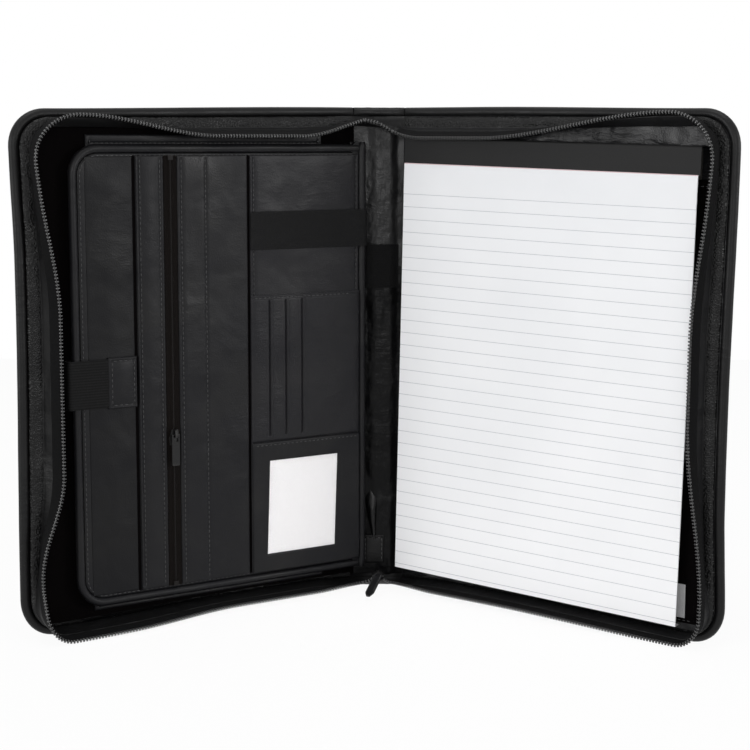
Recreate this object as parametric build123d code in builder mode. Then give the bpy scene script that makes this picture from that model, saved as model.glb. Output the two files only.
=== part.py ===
from build123d import *
import os
from math import atan2, cos, degrees, radians, sin

# Zippered padfolio standing open on its bottom edge, seen into the V from -Y.
# The origin is the middle of the spine's bottom edge, +Z is up, sizes are millimetres.
# Every cover is drawn on its own plane: u along the cover from its crease, v up,
# n out of the inner face. The hinge lines of the two creases lie on the inner faces.

# Letter sheets under a wrapped binding, and the room that the covers leave round them
SHEET_W = 215.9
SHEET_H = 279.4
BINDING_H = 16.5
SIDE_ROOM = 27.1
HEAD_ROOM = 30.1

# Covers and spine
SPINE_W = 34.0
COVER_T = 4.5
OPEN_FRONT = 32.0
OPEN_BACK = 36.8
CORNER_R = 23.0
SKIN_T = 1.2
LINING_T = 0.8
RIM_W = 6.0
EDGE_BEVEL = 1.4
CREASE_GAP = 0.3
FIT = 0.2

# Gusset wall with its zip, leaning and bowing in towards its free edge
WALL_INSET = RIM_W + 2 * FIT
WALL_END = 48.0
GUSSET_T = 1.2
GUSSET_H = 9.6
TAPE_T = 0.8
CHAIN_W = 2.6
CHAIN_BASE_H = 1.0
TOOTH_H = 1.2
TOOTH_L = 1.9
TOOTH_PITCH = 6.0
TOOTH_EDGE = 0.2
MEET_GAP = 0.4
CORNER_LEAN = 2.6
FREE_CORNER_R = 30.0
SIDE_BOW = 10.5
TOP_DROOP = 9.0
FLOOR_LEAN = 5.2

# Webs and zip ends across the spine
WEB_T = 1.2
FLOOR_LIFT = 0.3
WEB_EDGE_W = 26.0
WEB_EDGE_OUT = 22.0
ZIP_END_H = 2.2
ZIP_END_OUT = 14.0
LOOP_MARGIN = 3.5
LOOP_V = 207.3
LOOP_H = 29.5
LOOP_T = 0.6
LOOP_ARCH_W = 14.0
LOOP_ARCH_H = 2.2
PATCH_U = -3.0
PATCH_W = 15.0
PATCH_H = 20.0
PATCH_V = 14.0
PATCH_T = 0.8
PATCH_R = 2.0

# Organiser that swings on the front cover; near and far count from the crease
ORG_NEAR = 1.4
ORG_SIDE_ROOM = 34.0
ORG_BOTTOM = 13.0
ORG_HEAD_ROOM = 21.4
ORG_CORNER_R = 19.0
ORG_N = 4.2
ORG_BACK_T = 0.8
ORG_BOARD_T = 2.0
ORG_FACE_T = 1.0
PIPE_R = 2.8
PIPE_DROP = 0.6
PIPE_SIDES = 12
EDGE_PIPE_R = 2.2
EDGE_PIPE_RISE = 1.4
PANEL_T = 1.0
SEAM = 1.2
HINGE_U = 3.2
HINGE_N = 2.8
HINGE_BEAD_R = 1.0
HINGE_FOOT_W = 12.0
HINGE_FOOT_T = 0.8
HINGE_NECK_T = 0.8
HINGE_MARGIN = 10.0

# Columns of the organiser, the wide ones as shares of its width
CARD_SHARE = 0.39
ZIP_PANEL_SHARE = 0.25
STRIP_SHARE = 0.0995
COLUMN_GAP = 4.0
ZIP_SLOT_W = 9.4
BAND_V = 236.0
BAND_H = 25.0
BAND_T = 0.9
CARD_TOP = 206.4
CARD_BOTTOM = 108.6
CARD_POCKET_MARGIN = 1.5
SLIT_H = 91.5
SLIT_W = 0.9
SLIT_STEP = 12.3
SLIT_COUNT = 3
POCKET_LINING_T = 0.4
ID_FRAME_T = 1.8
ID_SKIN_T = 0.5
WINDOW_SIDE = 12.0
WINDOW_H = 63.4
WINDOW_V = 32.0
FILM_T = 0.3
FILM_LAP = 2.5
ID_CARD_T = 0.4
ID_CARD_LAP = 3.8

# Pocket zip with its slider and pull
POCKET_TAPE_T = 0.4
POCKET_SLIT = 0.4
POCKET_CHAIN_W = 3.2
POCKET_CHAIN_H = 0.5
POCKET_TOOTH_H = 0.4
STOP_L = 3.0
STOP_H = 1.2
SLIDER_V = 118.0
SLIDER_L = 10.0
SLIDER_W = 6.4
SLIDER_NOSE_W = 4.4
SLIDER_T = 1.0
SLIDER_CLEAR = 0.3
BRIDGE_L = 5.0
BRIDGE_W = 1.6
BRIDGE_H = 2.2
BRIDGE_T = 0.8
PIN_R = 0.4
PULL_W = 5.4
PULL_L = 20.0
PULL_EYE = 4.0
PULL_R = 1.2

# Main slider at the bottom of the spine with its ring and leather pull
MAIN_OUT = 13.0
MAIN_V = 5.2
MAIN_L = 10.0
MAIN_W = 8.2
MAIN_NOSE_W = 5.2
MAIN_H = 4.2
MAIN_PLATE_T = 1.1
MAIN_POST_W = 1.6
MAIN_POST_L = 3.0
RING_L = 7.0
RING_W = 6.0
RING_BAR = 1.0
TAB_W = 6.4
TAB_T = 1.4
TAB_R = 2.0
TAB_FOLD = 2.4
TAB_SIDE = -9.0
TAB_OUT = 17.0

# Closure strap round the organiser's free edge
STRAP_V = 141.0
STRAP_H = 30.5
STRAP_T = 1.0
STRAP_TAB_GAP = 1.5
STRAP_TAB_W = 19.0
STRAP_TAB_H = 32.4
STRAP_TAB_T = 1.6
STRAP_TAB_R = 3.0
STRAP_CLEAR = 0.3
ANCHOR_L = 22.0
HOOK_W = 14.0
HOOK_H = 24.0
HOOK_T = 0.6

# Slip pocket behind the organiser
DOC_SIDE_ROOM = 48.0
DOC_NEAR = 26.0
DOC_HEAD_ROOM = 15.4
DOC_BOTTOM = 9.0
DOC_T = 1.6
DOC_SPACE = 0.6
DOC_SEAM = 6.0

# Writing pad, standing a little askew, and the pocket behind it
BINDING_T = 0.6
PAD_U = 0.8
PAD_FOOT_GAP = 0.5
PAD_TURN = -1.3
PAD_CLEAR = 0.3
PAD_BOARD_T = 0.8
PAGES_T = 6.2
TOP_SHEET_T = 0.25
POCKET_W = 152.0
POCKET_SIDE_ROOM = 11.0
POCKET_BOTTOM = 9.0
POCKET_DROP = 3.0
POCKET_R = 12.0
POCKET_SEAM = 4.0
POCKET_SKIN = 1.0
LABEL_GAP = 1.3
LABEL_W = 4.6
LABEL_V = 14.8
LABEL_H = 21.4
LABEL_T = 0.6

# Levels and edges that follow from the sizes above
COVER_W = SHEET_W + SIDE_ROOM
COVER_H = SHEET_H + BINDING_H + HEAD_ROOM
BOARD_T = COVER_T - SKIN_T - LINING_T
CHAIN_H = CHAIN_BASE_H + TOOTH_H
WALL_H = SPINE_W / 2 - MEET_GAP - CHAIN_H
CHAIN_LAP = (CHAIN_W - TAPE_T) / 2
ROOF_V = COVER_H - WALL_INSET - CORNER_LEAN - WEB_T
ORG_FAR = COVER_W - ORG_SIDE_ROOM
ORG_TOP = COVER_H - ORG_HEAD_ROOM
ORG_BOARD_N = ORG_N + ORG_BACK_T
ORG_LEATHER_N = ORG_BOARD_N + ORG_BOARD_T
ORG_FACE_N = ORG_LEATHER_N + ORG_FACE_T
PANEL_N = ORG_FACE_N + PANEL_T
PIPE_N = ORG_N + PIPE_R - PIPE_DROP
PIPE_TOP_N = PIPE_N + PIPE_R
ORG_INNER_NEAR = ORG_NEAR + 2 * EDGE_PIPE_R + FIT
ORG_INNER_FAR = ORG_FAR - 2 * PIPE_R - FIT
ORG_INNER_BOTTOM = ORG_BOTTOM + 2 * PIPE_R + FIT
ORG_INNER_TOP = ORG_TOP - 2 * PIPE_R - FIT
PANEL_BOTTOM = ORG_INNER_BOTTOM + SEAM
PANEL_TOP = ORG_INNER_TOP - SEAM
PANEL_NEAR = ORG_INNER_NEAR + SEAM
COLUMN_SPAN = ORG_INNER_FAR - PANEL_NEAR
CARD_FAR = PANEL_NEAR + CARD_SHARE * COLUMN_SPAN
ZIP_PANEL_NEAR = CARD_FAR + COLUMN_GAP
ZIP_NEAR = ZIP_PANEL_NEAR + ZIP_PANEL_SHARE * COLUMN_SPAN
STRIP_NEAR = ZIP_NEAR + ZIP_SLOT_W
STRIP_FAR = STRIP_NEAR + STRIP_SHARE * COLUMN_SPAN
ZIP_U = -(STRIP_NEAR + ZIP_NEAR) / 2
WINDOW_NEAR = PANEL_NEAR + WINDOW_SIDE
WINDOW_FAR = CARD_FAR - WINDOW_SIDE
POCKET_CHAIN_N = ORG_FACE_N + POCKET_TAPE_T
POCKET_CHAIN_TOP_N = POCKET_CHAIN_N + POCKET_CHAIN_H + POCKET_TOOTH_H
PIN_LIFT = (BRIDGE_H - BRIDGE_T) / 2
STRAP_N = PIPE_TOP_N + STRAP_CLEAR
STRAP_FAR = ORG_FAR + FIT
STRAP_TAB_NEAR = STRIP_FAR + STRAP_TAB_GAP
STRAP_NEAR = STRAP_TAB_NEAR + STRAP_TAB_W
DOC_FAR = COVER_W - DOC_SIDE_ROOM
DOC_TOP = COVER_H - DOC_HEAD_ROOM
PAD_H = SHEET_H + BINDING_H
PAD_V = WALL_INSET + GUSSET_T + PAD_FOOT_GAP - SHEET_W * sin(radians(PAD_TURN))
POCKET_SPACE = PAD_BOARD_T + 2 * PAD_CLEAR
POCKET_FACE_N = POCKET_SPACE + POCKET_SKIN
PAGES_N = POCKET_FACE_N + PAD_CLEAR
PAGES_TOP_N = PAGES_N + PAGES_T
POCKET_FAR = COVER_W - POCKET_SIDE_ROOM
POCKET_NEAR = POCKET_FAR - POCKET_W
LABEL_NEAR = PAD_U + SHEET_W + LABEL_GAP

FRONT = Plane(
    origin=(-SPINE_W / 2, -COVER_T / 2, 0),
    x_dir=(cos(radians(OPEN_FRONT)), sin(radians(OPEN_FRONT)), 0),
    z_dir=(sin(radians(OPEN_FRONT)), -cos(radians(OPEN_FRONT)), 0),
)
BACK = Plane(
    origin=(SPINE_W / 2, -COVER_T / 2, 0),
    x_dir=(cos(radians(OPEN_BACK)), -sin(radians(OPEN_BACK)), 0),
    z_dir=(-sin(radians(OPEN_BACK)), -cos(radians(OPEN_BACK)), 0),
)
SPINE = Plane(origin=(0, -COVER_T / 2, 0), x_dir=(1, 0, 0), z_dir=(0, -1, 0))
PAD = Plane(BACK.location * Location((PAD_U, PAD_V, 0), (0, 0, PAD_TURN)))
FRONT_SIDE = -1
BACK_SIDE = 1

os.makedirs("parts", exist_ok=True)


def save(builder, name):
    """Label one finished piece and write it as its own file."""
    builder.part.label = name
    export_step(builder.part, f"parts/{name}.step")


def block(u_from, u_to, v_from, v_to, mode=Mode.ADD):
    """Rectangle between two corners, given in the plane's own u and v."""
    with Locations(((u_from + u_to) / 2, (v_from + v_to) / 2)):
        Rectangle(abs(u_to - u_from), abs(v_to - v_from), mode=mode)


def front_block(near, far, v_from, v_to):
    """Rectangle on the front cover between two distances from its crease."""
    block(-far, -near, v_from, v_to)


def front_profile(v_top):
    """Plane seen from above the front cover, x along u and y along n, looking down from v_top."""
    return Plane(origin=FRONT.from_local_coords((0, v_top, 0)), x_dir=FRONT.x_dir, z_dir=(0, 0, -1))


def plan_point(plane, u, n):
    """Where a point of a cover stands on the floor plan."""
    point = plane.from_local_coords((u, 0, n))
    return (point.X, point.Y)


def cover_outline(side, inset):
    """Outline of one cover: square at the crease, rounded at the two outer corners."""
    u_near = side * CREASE_GAP
    u_far = side * (COVER_W - inset)
    v_low = inset
    v_high = COVER_H - inset
    with BuildLine() as outline:
        FilletPolyline(
            (u_near, v_low), (u_far, v_low), (u_far, v_high), (u_near, v_high),
            radius=CORNER_R - inset,
        )
        Line((u_near, v_high), (u_near, v_low))
    make_face(outline.edges())


def bowed_run(start, end, sag_u, sag_v):
    """One side of the wall line: straight at its foot, an arc where it sags."""
    if sag_u == 0 and sag_v == 0:
        Line(start, end)
    else:
        middle = ((start[0] + end[0]) / 2 + sag_u, (start[1] + end[1]) / 2 + sag_v)
        ThreePointArc(start, middle, end)


def wall_line(side, lean, inset):
    """U-shaped line of the gusset wall; lean runs from 0 at its foot to 1 at its free edge."""
    stand_in = WALL_INSET + lean * CORNER_LEAN + inset
    u_end = side * WALL_END
    u_far = side * (COVER_W - stand_in)
    v_high = COVER_H - stand_in
    v_low = WALL_INSET - lean * FLOOR_LEAN + inset
    corner_r = (1 - lean) * (CORNER_R - WALL_INSET) + lean * FREE_CORNER_R - inset
    with BuildLine() as line:
        bowed_run((u_end, v_high), (u_far, v_high), 0, -lean * TOP_DROOP)
        bowed_run((u_far, v_high), (u_far, v_low), -side * lean * SIDE_BOW, 0)
        Line((u_far, v_low), (u_end, v_low))
        fillet(line.vertices().filter_by(lambda vertex: abs(vertex.X - u_far) < FIT), corner_r)
    return line.wires()[0]


def wall_region(side, lean, inset, reach, mode):
    """Area inside the wall line, closed past the wall's two ends by the given reach."""
    line = wall_line(side, lean, inset)
    ends = sorted((line @ 0, line @ 1), key=lambda point: point.Y)
    low = ends[0]
    high = ends[1]
    past = low.X - side * reach
    with BuildLine() as closing:
        if reach == 0:
            Line(low, high)
        else:
            Polyline((low.X, low.Y), (past, low.Y), (past, high.Y), (high.X, high.Y))
    make_face(line.edges() + closing.edges(), mode=mode)


def wall_band(side, lean, inset, thickness):
    """Cross-section of the wall at one height: a U-shaped band of even thickness."""
    wall_region(side, lean, inset, 0, Mode.ADD)
    wall_region(side, lean, inset + thickness, COVER_T, Mode.SUBTRACT)


def tooth_places(side):
    """Where the zip teeth stand along the free edge, each with its direction."""
    line = wall_line(side, 1, TAPE_T / 2)
    count = int(line.length / TOOTH_PITCH)
    places = []
    for index in range(count):
        share = (index + 0.5) / count
        point = line @ share
        along = line % share
        places.append(Location((point.X, point.Y, 0), (0, 0, degrees(atan2(along.Y, along.X)))))
    return places


def build_cover(name, plane, side):
    """Leather shell, board, lining, gusset wall, zip tape and zip chain of one cover."""
    depth = Axis(plane.origin, plane.z_dir)
    outward = Axis(plane.origin, plane.x_dir * side)

    with BuildPart() as shell:
        with BuildSketch(plane.offset(-COVER_T)):
            cover_outline(side, 0)
        extrude(amount=COVER_T)
        outer_rim = shell.faces().sort_by(depth)[0].edges().sort_by(outward)[1:]
        inner_rim = shell.faces().sort_by(depth)[-1].edges().sort_by(outward)[1:]
        chamfer(outer_rim + inner_rim, EDGE_BEVEL)
        with BuildSketch(plane.offset(SKIN_T - COVER_T)):
            cover_outline(side, RIM_W)
        extrude(amount=COVER_T, mode=Mode.SUBTRACT)
    save(shell, f"{name}_shell")

    with BuildPart() as board:
        with BuildSketch(plane.offset(SKIN_T - COVER_T)):
            cover_outline(side, RIM_W + FIT)
        extrude(amount=BOARD_T)
    save(board, f"{name}_board")

    with BuildPart() as lining:
        with BuildSketch(plane.offset(-LINING_T)):
            cover_outline(side, RIM_W + FIT)
        extrude(amount=LINING_T)
    save(lining, f"{name}_lining")

    split_lean = GUSSET_H / WALL_H
    with BuildPart() as gusset:
        with BuildSketch(plane):
            wall_band(side, 0, 0, GUSSET_T)
        with BuildSketch(plane.offset(GUSSET_H)):
            wall_band(side, split_lean, 0, GUSSET_T)
        loft(ruled=True)
    save(gusset, f"{name}_gusset")

    with BuildPart() as tape:
        with BuildSketch(plane.offset(GUSSET_H)):
            wall_band(side, split_lean, 0, TAPE_T)
        with BuildSketch(plane.offset(WALL_H)):
            wall_band(side, 1, 0, TAPE_T)
        loft(ruled=True)
    save(tape, f"{name}_zip_tape")

    places = tooth_places(side)
    with BuildPart() as chain:
        with BuildSketch(plane.offset(WALL_H)):
            wall_band(side, 1, -CHAIN_LAP, CHAIN_W)
        extrude(amount=CHAIN_BASE_H)
        with BuildSketch(plane.offset(WALL_H + CHAIN_BASE_H)):
            with Locations(*places):
                Rectangle(TOOTH_L, CHAIN_W - 2 * TOOTH_EDGE)
        extrude(amount=TOOTH_H)
    save(chain, f"{name}_zip_chain")


build_cover("front", FRONT, FRONT_SIDE)
build_cover("back", BACK, BACK_SIDE)


# Spine
SPINE_HALF = SPINE_W / 2 - CREASE_GAP

with BuildPart() as spine_leather:
    with BuildSketch(SPINE.offset(-COVER_T)):
        block(-SPINE_HALF, SPINE_HALF, 0, COVER_H)
    extrude(amount=COVER_T)
    chamfer(spine_leather.edges().filter_by(Axis.X), EDGE_BEVEL)
    with BuildSketch(SPINE.offset(SKIN_T - COVER_T)):
        block(-SPINE_W / 2, SPINE_W / 2, RIM_W, COVER_H - RIM_W)
    extrude(amount=COVER_T, mode=Mode.SUBTRACT)
save(spine_leather, "spine_leather")

with BuildPart() as spine_board:
    with BuildSketch(SPINE.offset(SKIN_T - COVER_T)):
        block(-SPINE_HALF, SPINE_HALF, RIM_W + FIT, COVER_H - RIM_W - FIT)
    extrude(amount=BOARD_T)
save(spine_board, "spine_board")

with BuildPart() as spine_lining:
    with BuildSketch(SPINE.offset(-LINING_T)):
        block(-SPINE_HALF, SPINE_HALF, RIM_W + FIT, COVER_H - RIM_W - FIT)
    extrude(amount=LINING_T)
save(spine_lining, "spine_lining")

# Flat elastic loop: two sewn feet and a low arch that a pen lifts
loop_foot = SPINE_W / 2 - LOOP_MARGIN
loop_arch = LOOP_ARCH_W / 2
with BuildPart() as pen_loop:
    with BuildSketch(Plane(origin=(0, -COVER_T / 2, LOOP_V + LOOP_H), x_dir=(1, 0, 0), z_dir=(0, 0, -1))):
        with BuildLine():
            Polyline((-loop_arch, LOOP_T), (-loop_foot, LOOP_T), (-loop_foot, 0), (-loop_arch + LOOP_T, 0))
            ThreePointArc((-loop_arch + LOOP_T, 0), (0, LOOP_ARCH_H - LOOP_T), (loop_arch - LOOP_T, 0))
            Polyline((loop_arch - LOOP_T, 0), (loop_foot, 0), (loop_foot, LOOP_T), (loop_arch, LOOP_T))
            ThreePointArc((loop_arch, LOOP_T), (0, LOOP_ARCH_H), (-loop_arch, LOOP_T))
        make_face()
    extrude(amount=LOOP_H)
save(pen_loop, "pen_loop")

with BuildPart() as zip_end_patch:
    with BuildSketch(SPINE) as patch_shape:
        block(PATCH_U - PATCH_W / 2, PATCH_U + PATCH_W / 2, PATCH_V, PATCH_V + PATCH_H)
        fillet(patch_shape.vertices(), PATCH_R)
    extrude(amount=PATCH_T)
save(zip_end_patch, "zip_end_patch")


def build_crease(name, crease_x, start_angle, turn):
    """Outer leather bent round one fold line, tangent to the cover and to the spine."""
    with BuildPart() as crease:
        with BuildSketch(Plane.XY):
            with BuildLine() as bend:
                outer = CenterArc((crease_x, -COVER_T / 2), COVER_T, start_angle, turn)
                inner = CenterArc((crease_x, -COVER_T / 2), COVER_T - SKIN_T, start_angle, turn)
                Line(outer @ 0, inner @ 0)
                Line(outer @ 1, inner @ 1)
            make_face(bend.edges())
        extrude(amount=COVER_H)
    save(crease, name)


build_crease("front_crease", -SPINE_W / 2, 90, OPEN_FRONT)
build_crease("back_crease", SPINE_W / 2, 90 - OPEN_BACK, OPEN_BACK)


def build_web(name, v_low):
    """Leather that closes the gusset between the two covers and the spine."""
    edge_y = -COVER_T / 2 - WEB_EDGE_OUT
    with BuildPart() as web:
        with BuildSketch(Plane.XY.offset(v_low)):
            with BuildLine() as outline:
                Polyline(
                    plan_point(FRONT, FIT - WALL_END, FIT),
                    plan_point(FRONT, FIT - WALL_END, WALL_H),
                    (-WEB_EDGE_W / 2, edge_y),
                    (WEB_EDGE_W / 2, edge_y),
                    plan_point(BACK, WALL_END - FIT, WALL_H),
                    plan_point(BACK, WALL_END - FIT, FIT),
                    plan_point(BACK, FIT, FIT),
                    plan_point(FRONT, -FIT, FIT),
                    close=True,
                )
            make_face(outline.edges())
        extrude(amount=WEB_T)
    save(web, name)


build_web("gusset_floor", FLOOR_LIFT)
build_web("gusset_roof", ROOF_V)


def build_zip_ends(name, v_start, v_end, stop_x, stop_out):
    """The last run of each zip chain, from the wall's end to the middle of the spine."""
    with BuildPart() as ends:
        for plane, side in ((FRONT, FRONT_SIDE), (BACK, BACK_SIDE)):
            plan_start = plan_point(plane, side * (WALL_END - FIT), WALL_H + CHAIN_H / 2)
            start = Vector(plan_start[0], plan_start[1], v_start)
            end = Vector(side * stop_x, -COVER_T / 2 - stop_out, v_end)
            run = end - start
            with BuildSketch(Plane(origin=start, x_dir=run.cross(Vector(0, 0, 1)), z_dir=run)):
                Rectangle(CHAIN_W, ZIP_END_H)
            extrude(amount=run.length)
    save(ends, name)


floor_chain_v = FLOOR_LIFT + WEB_T + ZIP_END_H / 2 + FIT
roof_chain_v = ROOF_V - ZIP_END_H / 2 - FIT
build_zip_ends(
    "zip_ends_bottom", floor_chain_v, MAIN_V + MAIN_H / 2, MAIN_W / 2 + 2 * FIT, MAIN_OUT + MAIN_L / 2
)
build_zip_ends("zip_ends_top", roof_chain_v, roof_chain_v, CHAIN_W, ZIP_END_OUT)


# Main slider, its ring and its leather pull
MAIN = Plane(origin=(0, -COVER_T / 2 - MAIN_OUT, MAIN_V), x_dir=(0, -1, 0), z_dir=(0, 0, 1))


def slider_outline(length, width, nose_width):
    """Plate of a slider: broad where the open chains enter, narrow where the closed one leaves."""
    with BuildLine() as outline:
        Polyline(
            (-length / 2, -nose_width / 2), (0, -width / 2), (length / 2, -width / 2),
            (length / 2, width / 2), (0, width / 2), (-length / 2, nose_width / 2),
            close=True,
        )
    make_face(outline.edges())


def bridge_outline(offset):
    """Side view of the arch that holds a pull: a closed frame with a slot for the pin."""
    block(offset, offset + BRIDGE_L, 0, BRIDGE_H)
    block(offset + BRIDGE_T, offset + BRIDGE_L - BRIDGE_T, 0, BRIDGE_H - BRIDGE_T, mode=Mode.SUBTRACT)


def side_plane(plane, width, lift):
    """Plane beside a slider, x along its travel and y away from its plate, extruding across it."""
    origin = plane.from_local_coords((0, width / 2, lift))
    return Plane(origin=origin, x_dir=plane.x_dir, z_dir=-plane.y_dir)


main_bridge_u = MAIN_L / 2 - BRIDGE_L
with BuildPart() as main_slider:
    with BuildSketch(MAIN):
        slider_outline(MAIN_L, MAIN_W, MAIN_NOSE_W)
    extrude(amount=MAIN_PLATE_T)
    with BuildSketch(MAIN.offset(MAIN_H - MAIN_PLATE_T)):
        slider_outline(MAIN_L, MAIN_W, MAIN_NOSE_W)
    extrude(amount=MAIN_PLATE_T)
    with BuildSketch(MAIN):
        block(MAIN_L / 2 - MAIN_POST_L, MAIN_L / 2, -MAIN_POST_W / 2, MAIN_POST_W / 2)
    extrude(amount=MAIN_H)
    with BuildSketch(side_plane(MAIN, BRIDGE_W, MAIN_H)):
        bridge_outline(main_bridge_u)
    extrude(amount=BRIDGE_W)
save(main_slider, "main_slider")

# The ring's inner bar runs through the bridge and is the pull's pivot
main_pin_u = main_bridge_u + BRIDGE_L - BRIDGE_T - PIN_R - 2 * FIT
main_pin_n = MAIN_H + PIN_LIFT
ring_end = main_pin_u + RING_L
with BuildPart() as main_pull_ring:
    with BuildSketch(MAIN.offset(main_pin_n - PIN_R)):
        block(main_pin_u, ring_end, -RING_W / 2, RING_W / 2)
        block(
            main_pin_u, ring_end - RING_BAR, RING_BAR - RING_W / 2, RING_W / 2 - RING_BAR,
            mode=Mode.SUBTRACT,
        )
    extrude(amount=2 * PIN_R)
    with BuildSketch(side_plane(MAIN, RING_W, 0)):
        with Locations((main_pin_u, main_pin_n)):
            Circle(PIN_R)
    extrude(amount=RING_W)
save(main_pull_ring, "main_pull_ring")

# The leather pull is folded round the ring's outer bar and falls to the table from there
fold_half_w = RING_W / 2 - RING_BAR - FIT
fold_half_t = PIN_R + TAB_T / 2
tab_start = MAIN.from_local_coords((ring_end + TAB_FOLD, 0, main_pin_n))
tab_end = Vector(TAB_SIDE, tab_start.Y - TAB_OUT, FLOOR_LIFT + TAB_T)
tab_run = tab_end - tab_start
TAB = Plane(origin=tab_start, x_dir=tab_run, z_dir=tab_run.cross(Vector(1, 0, 0)))
with BuildPart() as main_pull:
    with BuildSketch(TAB.offset(-TAB_T / 2)) as tab_outline:
        block(0, tab_run.length, -TAB_W / 2, TAB_W / 2)
        fillet(tab_outline.vertices().group_by(Axis.X)[-1], TAB_R)
    extrude(amount=TAB_T)
    with BuildSketch(MAIN.offset(main_pin_n - fold_half_t)):
        block(ring_end - RING_BAR - TAB_T / 2, ring_end + TAB_FOLD + TAB_T, -fold_half_w, fold_half_w)
    extrude(amount=2 * fold_half_t)
    with BuildSketch(MAIN.offset(main_pin_n - PIN_R)):
        block(ring_end - RING_BAR, ring_end, -RING_W / 2, RING_W / 2)
    extrude(amount=2 * PIN_R, mode=Mode.SUBTRACT)
save(main_pull, "main_pull")


# Slip pocket and hinge welt on the front lining
with BuildPart() as document_pocket:
    with BuildSketch(FRONT):
        front_block(DOC_NEAR, DOC_FAR, DOC_BOTTOM, DOC_TOP)
    extrude(amount=DOC_T)
    with BuildSketch(FRONT):
        front_block(DOC_NEAR + DOC_SEAM, DOC_FAR - DOC_SEAM, DOC_BOTTOM + DOC_SEAM, DOC_TOP + DOC_SEAM)
    extrude(amount=DOC_SPACE, mode=Mode.SUBTRACT)
save(document_pocket, "document_pocket")

with BuildPart() as organiser_hinge:
    with BuildSketch(front_profile(ORG_TOP - HINGE_MARGIN)):
        front_block(HINGE_U - HINGE_BEAD_R, HINGE_U + HINGE_FOOT_W, 0, HINGE_FOOT_T)
        front_block(HINGE_U - HINGE_NECK_T / 2, HINGE_U + HINGE_NECK_T / 2, 0, HINGE_N)
        with Locations((-HINGE_U, HINGE_N)):
            Circle(HINGE_BEAD_R)
    extrude(amount=ORG_TOP - ORG_BOTTOM - 2 * HINGE_MARGIN)
save(organiser_hinge, "organiser_hinge")


# Organiser panel: back, board and leather face inside a piped edge
def build_organiser_layer(name, n, thickness):
    """One sheet of the organiser, rounded at its two free corners."""
    with BuildPart() as layer:
        with BuildSketch(FRONT.offset(n)):
            with BuildLine() as outline:
                FilletPolyline(
                    (-ORG_INNER_NEAR, ORG_INNER_BOTTOM), (-ORG_INNER_FAR, ORG_INNER_BOTTOM),
                    (-ORG_INNER_FAR, ORG_INNER_TOP), (-ORG_INNER_NEAR, ORG_INNER_TOP),
                    radius=ORG_CORNER_R - 2 * PIPE_R - FIT,
                )
                Line((-ORG_INNER_NEAR, ORG_INNER_TOP), (-ORG_INNER_NEAR, ORG_INNER_BOTTOM))
            make_face(outline.edges())
        extrude(amount=thickness)
    save(layer, name)


build_organiser_layer("organiser_back", ORG_N, ORG_BACK_T)
build_organiser_layer("organiser_board", ORG_BOARD_N, ORG_BOARD_T)
build_organiser_layer("organiser_face", ORG_LEATHER_N, ORG_FACE_T)

with BuildPart() as organiser_binding:
    with BuildLine(FRONT.offset(PIPE_N)) as binding_path:
        FilletPolyline(
            (-ORG_INNER_NEAR, ORG_BOTTOM + PIPE_R), (PIPE_R - ORG_FAR, ORG_BOTTOM + PIPE_R),
            (PIPE_R - ORG_FAR, ORG_TOP - PIPE_R), (-ORG_INNER_NEAR, ORG_TOP - PIPE_R),
            radius=ORG_CORNER_R - PIPE_R,
        )
    with BuildSketch(Plane(origin=binding_path.line @ 0, z_dir=binding_path.line % 0)):
        RegularPolygon(PIPE_R, PIPE_SIDES)
    sweep()
save(organiser_binding, "organiser_binding")

with BuildPart() as organiser_edge_binding:
    with BuildSketch(front_profile(ORG_TOP + EDGE_PIPE_RISE)):
        with Locations((-ORG_NEAR - EDGE_PIPE_R, PIPE_N)):
            Circle(EDGE_PIPE_R)
    extrude(amount=ORG_TOP + EDGE_PIPE_RISE - ORG_BOTTOM)
save(organiser_edge_binding, "organiser_edge_binding")


# Zip pocket of the organiser
def build_panel(name, near, far, v_from, v_to, n, thickness):
    """Flat sewn panel on the organiser."""
    with BuildPart() as panel:
        with BuildSketch(FRONT.offset(n)):
            front_block(near, far, v_from, v_to)
        extrude(amount=thickness)
    save(panel, name)


build_panel("pocket_strip", STRIP_NEAR, STRIP_FAR, PANEL_BOTTOM, PANEL_TOP, ORG_FACE_N, PANEL_T)
build_panel("zip_pocket_panel", ZIP_PANEL_NEAR, ZIP_NEAR, PANEL_BOTTOM, PANEL_TOP, ORG_FACE_N, PANEL_T)

tape_reach = ZIP_SLOT_W / 2 - FIT
with BuildPart() as pocket_zip_tapes:
    with BuildSketch(FRONT.offset(ORG_FACE_N)):
        block(ZIP_U - tape_reach, ZIP_U - POCKET_SLIT / 2, PANEL_BOTTOM, PANEL_TOP)
        block(ZIP_U + POCKET_SLIT / 2, ZIP_U + tape_reach, PANEL_BOTTOM, PANEL_TOP)
    extrude(amount=POCKET_TAPE_T)
save(pocket_zip_tapes, "pocket_zip_tapes")

pocket_chain_h = PANEL_TOP - PANEL_BOTTOM - 2 * STOP_L
pocket_middle_v = (PANEL_TOP + PANEL_BOTTOM) / 2
with BuildPart() as pocket_zip_chain:
    with BuildSketch(FRONT.offset(POCKET_CHAIN_N)):
        with Locations((ZIP_U, pocket_middle_v)):
            Rectangle(POCKET_CHAIN_W, pocket_chain_h)
    extrude(amount=POCKET_CHAIN_H)
    with BuildSketch(FRONT.offset(POCKET_CHAIN_N + POCKET_CHAIN_H)):
        with Locations((ZIP_U, pocket_middle_v)):
            with GridLocations(0, TOOTH_PITCH, 1, int(pocket_chain_h / TOOTH_PITCH)):
                Rectangle(POCKET_CHAIN_W - 2 * TOOTH_EDGE, TOOTH_L)
    extrude(amount=POCKET_TOOTH_H)
save(pocket_zip_chain, "pocket_zip_chain")

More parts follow.
